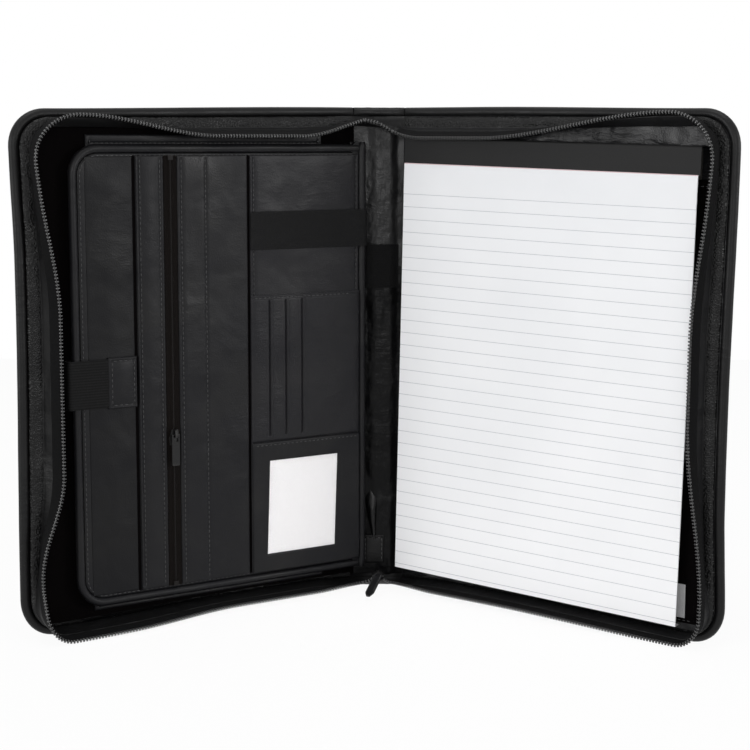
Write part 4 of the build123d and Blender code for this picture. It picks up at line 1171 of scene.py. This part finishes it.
def build_window():
    """Window pocket: leather frame, clear film and the card behind it."""
    reach = column_extent("id_frame")
    film = measure(FRONT, "id_window")
    form = frame_sheet(reach, inset_extent(film, WINDOW_LAP), WINDOW_LIP, reach.n1 - WINDOW_LIP, WINDOW_EDGE)
    add_piece("window_frame", form, PANEL_LEATHER, "organiser", ["id_frame"])
    line = seam_line("v", reach.v1 - 2.0, reach.u0 + 2, reach.u1 - 2)
    sew(ORGANISER_THREAD, FRONT.at(*line, reach.n1 + 0.02), FRONT.out)
    u, v = field(film, 16, 18)
    u = u + WINDOW_SKEW * (film.v1 - v) / (film.v1 - film.v0)
    level = film.n1 + 0.08 * ripple(FRONT.at(u, v, 0), 0.05, 21)
    form = plate(FRONT, u, v, level - 0.08, level - 0.2)
    add_piece("window_film", form, FILM, "organiser", ["id_window"])
    card = measure(FRONT, "id_card")
    u, v = field(card, 16, 18)
    curl = 0.1 * ripple(FRONT.at(u, v, 0), 0.03, 22)
    form = plate(FRONT, u, v, card.n1 + curl, card.n0 + curl)
    add_piece("window_card", form, CARD_STOCK, "id_card", ["id_card"])


def ribbed(board, path, v0, v1, thickness, pitch, depth):
    """A flat band: a line in u and n carried up v, with ribs along its length. Gives its form and rib marks."""
    out = normals(path)
    rows = max(12, int((v1 - v0) / pitch * 6))
    v = np.concatenate(((v0, v0 + 0.15), np.linspace(v0 + 0.4, v1 - 0.4, rows), (v1 - 0.15, v1)))
    wave = np.cos((v - v0) / pitch * 2 * pi)
    half = thickness / 2 * (1 - 0.4 * np.exp(-np.minimum(v - v0, v1 - v) / 0.35))
    top, bottom = (path + out * lift[:, None, None] for lift in (half + depth * wave, -half))
    form = closed_sheet(*(board.at(face[..., 0], v[:, None], face[..., 1]) for face in (top, bottom)))
    ribs = np.repeat(0.5 + 0.5 * wave, len(path))
    return form, {"rib": np.concatenate((ribs, ribs))}


def build_band():
    """Elastic band over the card column; its end goes round the roll beside the fold."""
    band = measure(FRONT, "elastic_band")
    reach = EDGE_ROLL_R + BAND_LIFT
    run = ((band.u0 - MOUTH_LAP, band.n0 + 0.6), (band.u1 - 4, band.n0 + 0.7), (BAND_ROLL_U, EDGE_ROLL_N + reach))
    line = np.concatenate((rounded_line(run, (40,), (30, 8), 10), around_roll(reach, 95, -40)))
    split = int(np.argmax(line[:, 0] > BAND_SPLIT_U))
    flat, end = (
        ribbed(FRONT, part, band.v0, band.v1, BAND_T, *FLAT_RIB)[0] for part in (line[:split + 1], line[split:])
    )
    add_piece("card_band", flat, ELASTIC_CLOTH, "organiser", ["elastic_band"])
    add_edge("card_band_end", end, ELASTIC_CLOTH, "elastic")


def build_strap():
    """Closure strap that bends round the organiser's edge, its leather tab, its tail and their pads."""
    strap = measure(FRONT, "strap_elastic")
    level = strap.n1 - STRAP_T / 2
    outer_u = strap.u0 + STRAP_T / 2 - STRAP_BULGE
    line = rounded_line(((strap.u1, level), (outer_u, level), (outer_u, strap.n0)), (2.0,), (24, 8), 8)
    form, marks = ribbed(FRONT, line, strap.v0, strap.v1, STRAP_WEB_T, STRAP_RIB_PITCH, STRAP_RIB)
    add_piece("closure_strap", form, RIBBED_CLOTH, "strap", ["strap_elastic"], marks=marks)

    thread = Batch()
    tab = measure(FRONT, "strap_tab")
    upright = (tab.v0 + 2.5, tab.v1 - 2.5)
    level = (tab.u0 + 2.5, tab.u1 - 2.5)
    seams = (
        ("u", tab.u0 + 2.0, *upright), ("u", tab.u1 - 2.0, *upright),
        ("v", tab.v0 + 2.2, *level), ("v", tab.v1 - 2.2, *level),
    )
    panel(
        "closure_tab", FRONT, tab._replace(u0=tab.u0 - 0.6), PANEL_LEATHER, "strap", ["strap_tab"],
        "panel_leather", seams, thread, puff=0.5,
    )
    add_piece("closure_tab_stitching", thread.form(), THREAD, "strap")

    anchor = measure(FRONT, "strap_anchor")
    level = anchor.n0 + STRAP_T / 2
    outer_u = anchor.u0 + STRAP_T / 2 - STRAP_BULGE
    line = rounded_line(((outer_u, anchor.n1), (outer_u, level), (anchor.u1, level)), (2.0,), (8, 24), 8)
    form, marks = ribbed(FRONT, line, anchor.v0, anchor.v1, STRAP_WEB_T, STRAP_RIB_PITCH, TAIL_RIB)
    add_piece("strap_tail", form, RIBBED_CLOTH, "organiser", ["strap_anchor"], marks=marks)

    for node, name, body in (("hook_pad", "hook_patch", "strap"), ("loop_pad", "loop_patch", "organiser")):
        reach = measure(FRONT, node)
        panel(name, FRONT, reach, NAP, body, [node], "hook_and_loop", edge=0.4, puff=0.0, wave=0.05)


def build_pocket_zip():
    """Closed coil zip of the organiser's pocket on its two tapes."""
    tapes = measure(FRONT, "pocket_zip_tapes")
    chain = measure(FRONT, "pocket_zip_chain")
    middle = (chain.u0 + chain.u1) / 2
    height = chain.n1 - chain.n0
    off = np.array((0.3, 0.45, 0.7, 1.1, 1.5, 1.9, 2.3, 2.8, 3.4, (tapes.u1 - tapes.u0) / 2))
    batch = Batch()
    coil = Batch()
    path = FRONT.at(middle, np.linspace(chain.v0, chain.v1, 40), chain.n0)
    coil.add(*swept(path + CORD_R * FRONT.out, FRONT.out, round_profile(POCKET_CORD_W, 8, CORD_R)))
    tooth = tooth_form(POCKET_TOOTH_L, POCKET_TOOTH_W, height * 0.85)
    for side in (-1, 1):
        u, v = np.meshgrid(middle + side * off, np.linspace(tapes.v0, tapes.v1, 120))
        away = np.abs(u - middle)
        over = height * smooth((2.2 - away) / 1.3) * smooth((away - 0.1) / 0.5)
        lift = over + 0.06 * ripple(FRONT.at(u, v, 0), 0.08, 31)
        batch.add(*plate(FRONT, u, v, tapes.n1 + lift, tapes.n0))
        shift = side * 0.25 * FRONT.along + (side + 1) * 0.35 * FRONT.up
        repeated(coil, path + shift, FRONT.out, POCKET_TOOTH_PITCH, tooth)
    add_piece("pocket_tapes", batch.form(), POCKET_TAPE, "organiser", ["pocket_zip_tapes"])
    add_piece("pocket_coil", coil.form(), POCKET_COIL, "organiser", ["pocket_zip_chain"])


build_organiser_layers()
build_bindings()
organiser_panel("pocket_strip", "pocket_strip_leather", PANEL_LEATHER, (("u0", 3.2), ("u1", -2.6)), lip=0.7)
organiser_panel(
    "zip_pocket_panel", "zip_pocket_leather", PANEL_LEATHER, (("u0", 3.0), ("u0", 20.0)),
    lip=0.2, puff=0.05, wave=0.08,
)
# The card column takes the lighter copy of the panel leather as painted light
organiser_panel(
    "card_base", "card_column_lit_leather", CARD_COLUMN_LIT_LEATHER, (("u0", 2.6), ("u1", -2.2)), CARD_TOP_V, puff=0.2, lip=0.7
)
build_pocket_mouths()
build_card_panel()
build_window()
build_band()
build_strap()
build_pocket_zip()
add_piece("organiser_stitching", ORGANISER_THREAD.form(), THREAD, "organiser")


# Front cover's slip pocket and the organiser's hinge welt
def build_front_inside():
    """Slip pocket behind the organiser and the welt that the organiser hangs on."""
    thread = Batch()
    reach = measure(FRONT, "document_pocket")
    upright = (reach.v0 + 3, reach.v1 - 3)
    level = (reach.u0 + 3, reach.u1 - 3)
    seams = (
        ("u", reach.u0 + 3, *upright), ("u", reach.u1 - 3, *upright),
        ("v", reach.v0 + 3, *level), ("v", reach.v1 - 5.5, *level),
    )
    panel(
        "slip_pocket", FRONT, reach, PANEL_LEATHER, "front_cover", ["document_pocket"], "panel_leather", seams,
        thread, puff=0.2,
    )
    add_piece("slip_pocket_stitching", thread.form(), THREAD, "front_cover")

    welt = measure(FRONT, "organiser_hinge")
    neck = np.array(HINGE_NECK) + (welt.u1 - 1.0, 0)
    section = np.concatenate((((welt.u0, 0.05),), neck, ((welt.u0, 0.7),)))
    rings = FRONT.at(section[:, 0], np.linspace(welt.v0, welt.v1, 70)[:, None], section[:, 1])
    rings += 0.08 * ripple(rings, 0.15, 41)[..., None] * FRONT.out
    add_piece("hinge_welt", lofted(rings), GUSSET_LEATHER, "front_cover", ["organiser_hinge"])


build_front_inside()


# Writing pad
def build_pad_pocket():
    """Sewn cloth pocket that holds the pad's backing."""
    thread = Batch()
    reach = measure(BACK, "pad_pocket")
    seams = (
        ("u", reach.u1 - 2.0, reach.v0 + 6, reach.v1 - 3), ("v", reach.v0 + 2.0, reach.u0 + 3, reach.u1 - 10),
        ("v", reach.v1 - 4.0, reach.u0 + 3, reach.u1 - 3),
    )
    cloth = panel(
        "pad_pocket_cloth", BACK, reach, LINING_CLOTH, "back_cover", ["pad_pocket"], "lining_fabric", seams,
        thread, puff=0.0,
    )
    sewing = add_piece("pad_pocket_stitching", thread.form(), THREAD, "back_cover")


def build_pages():
    """Stack of sheets under the upper two, its right edge fanned."""
    pages = measure(PAD, "page_block")
    pages = pages._replace(u1=pages.u1 - PAGE_TRIM)
    u, v = np.meshgrid(spaced(pages.u0, pages.u1, 0.6, 9.0), spaced(pages.v0, pages.v1, 0.6, 9.0))
    loop = border(*u.shape)
    u, v = u.ravel()[loop], v.ravel()[loop]
    out_u, out_v = (
        np.sign(place - (low + high) / 2) * (np.minimum(place - low, high - place) < 0.01)
        for place, low, high in ((u, pages.u0, pages.u1), (v, pages.v0, pages.v1))
    )
    levels = np.linspace(pages.n0, pages.n1 - SHEET_ROOM, 14)
    rings = []
    for index, level in enumerate(levels):
        stray = 0.12 * noise.noise(Vector((index * 1.7, 3.1, 0.4)))
        fan = PAGE_FAN * (pages.n1 - level) / (pages.n1 - pages.n0) * (out_u > 0)
        rings.append(PAD.at(u + out_u * stray - fan, v + out_v * stray, level))
    marks = {"level": np.repeat(levels, len(loop))}
    add_piece("pad_pages", lofted(np.array(rings)), PAGES, "back_cover", ["page_block"], 30, marks)


def build_sheets():
    """Ruled top sheet that turns, and the one under it."""
    sheet = measure(PAD, "top_sheet")
    u, v = field(sheet._replace(u1=sheet.u1 - PAGE_TRIM), 60, 80)
    down = sheet.v1 - v
    waves = 0.18 * smooth(1 - down / 60) * np.cos(u / 11.0 + 0.8 * np.sin(u / 31.0))
    level = sheet.n1 + smooth(down / 6) * (waves + 0.08 * ripple(PAD.at(u, v, 0), 0.02, 51))
    marks = {"down": np.tile(down.ravel(), 2)}
    for name, body, nodes, (top, bottom) in (
        ("pad_top_sheet", "top_sheet", ["top_sheet"], TOP_SHEET_DROP),
        ("pad_next_sheet", "back_cover", [], NEXT_SHEET_DROP),
    ):
        form = plate(PAD, u, v, level - top, level - bottom)
        add_piece(name, form, PAPER, body, nodes, marks=marks)


def build_backing():
    """Backing board of the pad, and the paper wrapped round its head."""
    board = measure(PAD, "pad_board")
    board = board._replace(u1=board.u1 - PAGE_FAN)
    form = plate(
        PAD, *np.meshgrid(spaced(board.u0, board.u1, 0.5, 12), spaced(board.v0, board.v1, 0.5, 12)),
        board.n1, board.n0,
    )
    add_piece("pad_backing", form, STIFF_BOARD, "back_cover", ["pad_board"])

    wrap = measure(PAD, "pad_binding")
    corner = (wrap.v1 - WRAP_T, wrap.n1 - WRAP_T)
    head = (measure(PAD, "top_sheet").v1 + 0.15, corner[1])
    line = rounded_line((head, corner, (corner[0], wrap.n0)), (WRAP_R,), (14, 10), 8)
    u = np.linspace(wrap.u0, wrap.u1, 70)
    outer, inner = (PAD.at(u, *(line + lift * normals(line)).T[..., None]) for lift in (WRAP_T, -WRAP_BACK))
    outer += 0.1 * ripple(outer, 0.04, 52)[..., None] * PAD.out
    add_piece(
        "pad_wrap", closed_sheet(outer, inner), BINDING_PAPER, "back_cover", ["pad_binding"]
    )


def build_label():
    """Blank label, curled up at its free edge."""
    label = measure(BACK, "label_tab")
    label = label._replace(
        u0=label.u0 + LABEL_SHIFT_U[0], u1=label.u1 + LABEL_SHIFT_U[1],
        v0=label.v0 + LABEL_SHIFT_V, v1=label.v1 + LABEL_SHIFT_V,
    )
    u, v = field(label, 8, 20)
    level = label.n0 + LABEL_CURL * ((u - label.u0) / (label.u1 - label.u0)) ** 2
    form = plate(BACK, u, v, level + 0.24, level + 0.04)
    add_piece("blank_label", form, LABEL_CLOTH, "back_cover", ["label_tab"])


build_pad_pocket()
build_pages()
build_sheets()
build_backing()
build_label()


# Spine
def ridge_level(u):
    """Height of the soft ridge that runs up the inner strip, off its middle."""
    return RIDGE_H * smooth((u + 9) / 8) * smooth((13.5 - u) / 6.5)


def press_flat(piece):
    """Gives a soft piece on the spine a mesh of its own."""
    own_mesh(piece)


def build_spine_cover():
    """Outer strip with rolled ends, crowned between the folds."""
    reach = measure(SPINE, "spine_leather")
    half = reach.u1 + SPINE_EASE
    inset, depth = SPINE_SECTION.T
    bead = np.maximum(0, depth - BEAD_FOOT_N)
    rings = []
    for place in np.linspace(reach.u0 - SPINE_EASE, half, 21):
        middle = 1 - (place / half) ** 2
        level = depth - SPINE_CROWN * middle * (depth < -3.6)
        level = level - bead * (1 - smooth((half - abs(place)) / FOLD_FADE))
        uneven = 0.25 * noise.noise(Vector((place * 0.2, 3.0, 1.0))) * middle
        high = COVER_H + SPINE_TOP_RISE + uneven - inset
        rings.append(SPINE.at(place, np.concatenate((inset, high[::-1])), np.concatenate((level, level[::-1]))))
    add_piece("spine_cover", lofted(np.array(rings)), COVER_LEATHER, "spine", ["spine_leather"])


def build_spine_inside():
    """Ruckled inner strip in two lengths, pen loop and the sewn patch over the zip's end. The upper length is
    painted lighter and the lower one darker, as painted light and painted shade.
    """
    lining = measure(SPINE, "spine_lining")
    loop = measure(SPINE, "pen_loop")
    half = SPINE_W / 2 - 0.05
    joint = (loop.v0 + loop.v1) / 2
    for name, low, high, steps, material, nodes in (
        # Upper length in the lighter leather as painted light, lower length in the darker one as painted shade
        ("spine_inner_leather", joint, lining.v1 + LINING_RISE, 70, UPPER_SPINE_LIT_LEATHER, ["spine_lining"]),
        ("spine_inner_leather_low", lining.v0, joint, 130, LOW_SPINE_SHADED_LEATHER, []),
    ):
        u, v = np.meshgrid(np.linspace(-half, half, 61), np.linspace(low, high, steps))
        spots = SPINE.at(u, v, 0)
        ruck = RIDGE_RUCK * ripple(spots * (1, 1, 0.4), 0.14, 61)
        ruck = ruck + RIDGE_FINE_RUCK * ripple(spots * (1, 1, 0.6), 0.45, 62)
        form = plate(SPINE, u, v, ridge_level(u) + ruck * np.cos(u / half * pi / 2), lining.n0)
        press_flat(add_piece(name, form, material, "spine", nodes))

    u = np.linspace(loop.u0, loop.u1, 40)
    arch = 0.7 + (RIDGE_H + 0.6) * smooth((u - loop.u0) / 7) * smooth((loop.u1 - u) / 6)
    form = ribbed(SPINE, np.stack((u, arch), axis=1), loop.v0, loop.v1, LOOP_T, *FLAT_RIB)[0]
    # The pen loop takes the darker copy of the elastic cloth as painted shade
    elastic = add_piece("pen_loop_elastic", form, PEN_LOOP_SHADED_CLOTH, "spine", ["pen_loop"])

    patch = measure(SPINE, "zip_end_patch")
    thread = Batch()
    upright = (patch.v0 + 2, patch.v1 - 2)
    seams = (
        ("v", patch.v1 - 2.0, patch.u0 + 1.5, patch.u1 - 1.5), ("u", patch.u0 + 1.8, *upright),
        ("u", patch.u1 - 1.8, *upright),
    )
    leather_patch = panel(
        "end_patch", SPINE, patch._replace(n0=0.5, n1=RIDGE_H + 0.9), GUSSET_LEATHER, "spine", ["zip_end_patch"],
        "gusset_leather", seams, thread, puff=0.4,
    )
    sewing = add_piece("end_patch_stitching", thread.form(), THREAD, "spine")
    for piece in (elastic, leather_patch, sewing):
        press_flat(piece)


def build_pleat():
    """Fold of the strip's leather, gathered into the seam of the patch below it."""
    share = np.linspace(0, 1, 40)[:, None]
    turns = np.linspace(0, pi, 15)
    wide = 0.6 + 3.4 * smooth(share / 0.2) * (1 - 0.75 * smooth((share - 0.2) / 0.8))
    tall = PLEAT_H * smooth(share / 0.4) * (1 - 0.6 * smooth((share - 0.4) / 0.6))
    u = PLEAT_U[0] + (PLEAT_U[1] - PLEAT_U[0]) * share + wide * np.cos(turns)
    v = PLEAT_V[0] + (PLEAT_V[1] - PLEAT_V[0]) * share
    crumple = 0.3 * ripple(SPINE.at(u, v, 0), 0.3, 63)
    form = plate(SPINE, u, v, ridge_level(u) + (tall + crumple) * np.sin(turns) ** 1.5, 0.02)
    pleat = add_piece("spine_pleat", form, PLEAT_LEATHER, "spine", [])
    press_flat(pleat)


def build_crease(name, side, degrees):
    """Outer leather bent round a fold line; it thickens to a rolled edge at both ends."""
    first = 90 if side == FRONT_SIDE else 90 - degrees
    angles = np.radians(np.linspace(first - CREASE_LAP_DEG, first + degrees + CREASE_LAP_DEG, 14))
    height = COVER_H + SPINE_TOP_RISE
    end = np.linspace(0.2, RIM_W, 10)
    v = np.concatenate((end, np.linspace(9, height - 9, 80), height - end[::-1]))[:, None]

    def bent(radius, turns, v):
        x = side * SPINE_W / 2 + radius * np.cos(turns)
        return np.stack(np.broadcast_arrays(x, radius * np.sin(turns) - COVER_T / 2, v), axis=-1)

    edge = np.minimum(v, height - v)
    bead = smooth((7.0 - edge) / 1.5)
    inner_r = (COVER_T - SKIN_T) * (1 - bead) + 0.05 * bead
    outer_r = COVER_T + 0.1 - 1.2 * smooth((1.2 - edge) / 1.2) + 0.12 * np.sin((angles - angles[0]) * 14)
    form = closed_sheet(bent(outer_r, angles, v), bent(inner_r, angles, v))
    near, far = bent(COVER_T, angles[[0, -1]], 0)[::-side]
    bodies = ("spine", f"{name}_cover")
    add_bending(
        f"{name}_fold_leather", form, COVER_LEATHER, bodies, near, far, [f"{name}_crease"], "cover_leather"
    )


build_spine_cover()
build_spine_inside()
build_pleat()
build_crease("front", FRONT_SIDE, FRONT_DEG)
build_crease("back", BACK_SIDE, BACK_DEG)


# Webs and zip ends across the spine
def curve(points, count):
    """A smooth line through three or four points, eased by repeated averaging."""
    spots = np.asarray(points, float)
    share = np.linspace(0, len(spots) - 1, count)
    line = np.stack([np.interp(share, np.arange(len(spots)), spots[:, axis]) for axis in range(3)], axis=1)
    for _ in range(count // 2):
        line[1:-1] = (line[:-2] + 2 * line[1:-1] + line[2:]) / 4
    return line


def led_on(last, before):
    """Where lines that end at the last points would go on to."""
    step = last - before
    return last + WEB_LEAD * step / np.linalg.norm(step, axis=-1, keepdims=True)


def wall_end(board, side, top):
    """Section of the wall where it ends beside the spine, outer and inner face, and where it leads on to."""
    last, before = (-1, -2) if top else (0, 1)
    faces = np.array(wall_surfaces(board, side, WEB_LEVELS, GUSSET_T, WALL_WRINKLE, WALL_SEED))
    return faces[:, :, last], led_on(faces[:, :, last], faces[:, :, before])


def middle_section(top):
    """Section of the web at the middle of the spine: between those of the two walls, raised to meet the zip."""
    front = FRONT.local(wall_end(FRONT, FRONT_SIDE, top)[0])
    back = BACK.local(wall_end(BACK, BACK_SIDE, top)[0])
    v, n = np.moveaxis((front + back) / 2, -1, 0)[1:]
    meet = TOP_MEET_Z - 0.6 if top else UNDER_SLIDER_Z
    lift = (meet - v[0, -1]) * smooth((n - 6) / (WALL_H - 6))
    return SPINE.at(0, v + lift, n * ZIP_MIDDLE_N / WALL_H)


def zip_end_line(board, side, top):
    """Line of the zip's last run, from the wall's end to the middle of the spine."""
    wall = board.at(*wall_points(side, WALL_H, TAPE_T / 2))
    last, before = (wall[-1], wall[-2]) if top else (wall[0], wall[1])
    end = SPINE.at(0, TOP_MEET_Z, ZIP_MIDDLE_N) if top else np.array((side * 3.0, SLIDER_Y - 2.0, SLIDER_Z))
    return curve((last, led_on(last, before), end), WEB_STEPS)


def build_web(name, board, side, top):
    """Half of the leather that closes the gusset across the spine, with its run of zip."""
    part, end = ("roof", "top") if top else ("floor", "bottom")
    far_spot = board.at(side * WALL_END, 0, WALL_H / 2)
    bend = (("spine", f"{name}_cover"), far_spot - side * WEB_BEND * board.along, far_spot)
    sections = zip(*wall_end(board, side, top), middle_section(top))
    surfaces = np.array([[curve(points, WEB_STEPS) for points in zip(*face)] for face in sections])
    ruck = WEB_RUCK * ripple(surfaces[0], 0.13, 71) * np.sin(np.linspace(0, pi, WEB_STEPS))
    web = closed_sheet(*(surfaces + ruck[..., None] * SPINE.up))
    add_bending(f"{name}_gusset_{part}", web, GUSSET_LEATHER, *bend, [f"gusset_{part}"], "gusset_leather")
    outward = (board.out + SPINE.out) / np.linalg.norm(board.out + SPINE.out)
    coil = coil_along(zip_end_line(board, side, top), outward)
    add_bending(f"{name}_coil_{end}", coil, COIL, *bend, [f"zip_ends_{end}"], "zip_coil")


for cover, flat, hand in (("front", FRONT, FRONT_SIDE), ("back", BACK, BACK_SIDE)):
    for at_top in (False, True):
        build_web(cover, flat, hand, at_top)


# Main pull
def build_main_pull():
    """Leather tab folded round the ring, falling to the table, sewn along both edges."""
    tip = node_points("main_pull")
    ring = node_points("main_pull_ring")
    bar = np.array((0, ring[:, 1].min() + 0.5, (ring[:, 2].min() + ring[:, 2].max()) / 2))
    lowest = tip[tip[:, 1] < tip[:, 1].min() + 1.5].mean(axis=0)
    line = curve((bar + (0, 0.9, 0.9), bar + (0, -1.6, 0.95), bar * 0.62 + lowest * 0.38, lowest), TAB_STEPS)
    along = directions(line)
    across = np.cross(along, SPINE.up)
    across /= np.linalg.norm(across, axis=1, keepdims=True)
    lift = np.cross(across, along)
    lift *= np.sign(lift[:, 2:3])
    grow = np.clip(np.linspace(0.62, 1.4, TAB_STEPS), 0.62, 1.0)
    tail = np.sqrt(np.clip(np.linspace(26, 0.3, TAB_STEPS) / 2.5, 0.2, 1))
    places = np.linspace(-1, 1, 13)
    rounding = np.sqrt(np.clip(1 - np.abs(places) ** 6, 0, 1))
    middle = line[:, None] + across[:, None] * (TAB_W * (grow * tail)[:, None] * places)[..., None]
    half = lift[:, None] * (TAB_EDGE_T + TAB_CROWN * rounding)[:, None]
    form = closed_sheet(middle + half, middle - half)
    add_piece("pull_tab", form, PANEL_LEATHER, "main_pull", ["main_pull"])
    thread = Batch()
    for side in (-1, 1):
        path = (line + across * side * TAB_SEAM_OFF + lift * TAB_SEAM_LIFT)[TAB_SEAM_RUN]
        sew(thread, path, SPINE.up, TAB_STITCH_PITCH)
    add_piece("pull_tab_stitching", thread.form(), THREAD, "main_pull")


build_main_pull()

# Solids that show as they are; those of metal and nylon get rounded edges
for node_name, look in (
    ("main_slider", METAL), ("main_pull_ring", METAL), ("pocket_slider", METAL), ("pocket_pull", METAL),
    ("pocket_zip_stops", POCKET_COIL), ("front_board", STIFF_BOARD), ("back_board", STIFF_BOARD),
    ("spine_board", STIFF_BOARD), ("organiser_board", STIFF_BOARD),
):
    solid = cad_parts[node_name]
    solid.data.materials.clear()
    solid.data.materials.append(look)
    if look is not STIFF_BOARD:
        rounded_edges = solid.modifiers.new("rounded_edges", "BEVEL")
        rounded_edges.width = BEVEL_W * MM
        rounded_edges.segments = 2


# Stage, light and camera
def seen_rays(tree):
    """1 for rays that show a surface straight, mirrored or through film, 0 for rays that only light."""
    rays = add_node(tree, "LightPath", {}).outputs
    seen = math_node(tree, "MAXIMUM", rays["Is Camera Ray"], rays["Is Glossy Ray"])
    return math_node(tree, "MAXIMUM", seen, rays["Is Transmission Ray"])


def build_stage():
    """Plain white table; it keeps a soft shadow."""
    material = bpy.data.materials.new("table_white")
    material.use_nodes = True
    tree = material.node_tree
    bsdf = tree.nodes["Principled BSDF"]
    matt = {"Base Color": (0.95, 0.95, 0.95, 1.0), "Roughness": 0.9, "Specular IOR Level": 0.0}
    for socket, value in matt.items():
        bsdf.inputs[socket].default_value = value
    glow = add_node(tree, "Emission", {}).outputs["Emission"]
    share = math_node(tree, "MULTIPLY", seen_rays(tree), TABLE_GLOW)
    mix = add_node(tree, "MixShader", {"Fac": share, 1: bsdf.outputs["BSDF"], 2: glow})
    tree.links.new(mix.outputs["Shader"], tree.nodes["Material Output"].inputs["Surface"])
    corners = np.array(((-3, -3, 0), (3, -3, 0), (3, 1.2, 0), (-3, 1.2, 0))) / MM
    floor = make_object("table", (corners, [[0, 1, 2, 3]]), material)
    floor.location.z = -(CORNER_SAG + 0.1) * MM


def build_world():
    """Soft even surroundings that show white."""
    world = bpy.data.worlds.new("studio")
    bpy.context.scene.world = world
    world.use_nodes = True
    tree = world.node_tree
    background = tree.nodes["Background"]
    background.inputs["Color"].default_value = (1.0, 1.0, 1.0, 1.0)
    tree.links.new(ranged(tree, seen_rays(tree), WORLD_LIGHT, 1.0), background.inputs["Strength"])


def add_lamp(name, place, aim, size, power):
    """A large soft lamp turned to a point."""
    lamp = bpy.data.lights.new(name, "AREA")
    lamp.size = size
    lamp.energy = power
    obj = bpy.data.objects.new(name, lamp)
    bpy.context.scene.collection.objects.link(obj)
    obj.location = place
    obj.rotation_euler = (Vector(aim) - Vector(place)).to_track_quat("-Z", "Y").to_euler()


def add_camera():
    """The view of the photograph."""
    yaw, pitch, roll = (radians(angle) for angle in CAMERA_TURN)
    ahead = Vector((sin(yaw) * cos(pitch), cos(yaw) * cos(pitch), -sin(pitch)))
    right = Vector((cos(yaw), -sin(yaw), 0))
    up = right.cross(ahead)
    right, up = right * cos(roll) + up * sin(roll), up * cos(roll) - right * sin(roll)
    data = bpy.data.cameras.new("camera")
    data.sensor_width = SENSOR_W
    data.lens = CAMERA_FOCUS * SENSOR_W / PHOTO_W
    camera = bpy.data.objects.new("camera", data)
    bpy.context.scene.collection.objects.link(camera)
    turn = Matrix((right, up, -ahead)).transposed().to_4x4()
    camera.matrix_world = Matrix.Translation(Vector(CAMERA_PLACE) * MM) @ turn
    bpy.context.scene.camera = camera


build_stage()
build_world()
add_lamp("key", (1.75, -0.95, 0.6), (-0.05, -0.05, 0.2), 0.5, 11)
add_lamp("fill", (-1.6, -1.1, 0.45), (0.05, -0.05, 0.16), 0.7, 10.5)
add_lamp("front", (0, -1.8, 0.5), (0, -0.05, 0.25), 0.35, 4.5)
add_lamp("top", (-0.2, -0.5, 1.8), (0, -0.05, 0.2), 0.8, 7)
add_camera()
bpy.context.scene.view_settings.view_transform = "Standard"
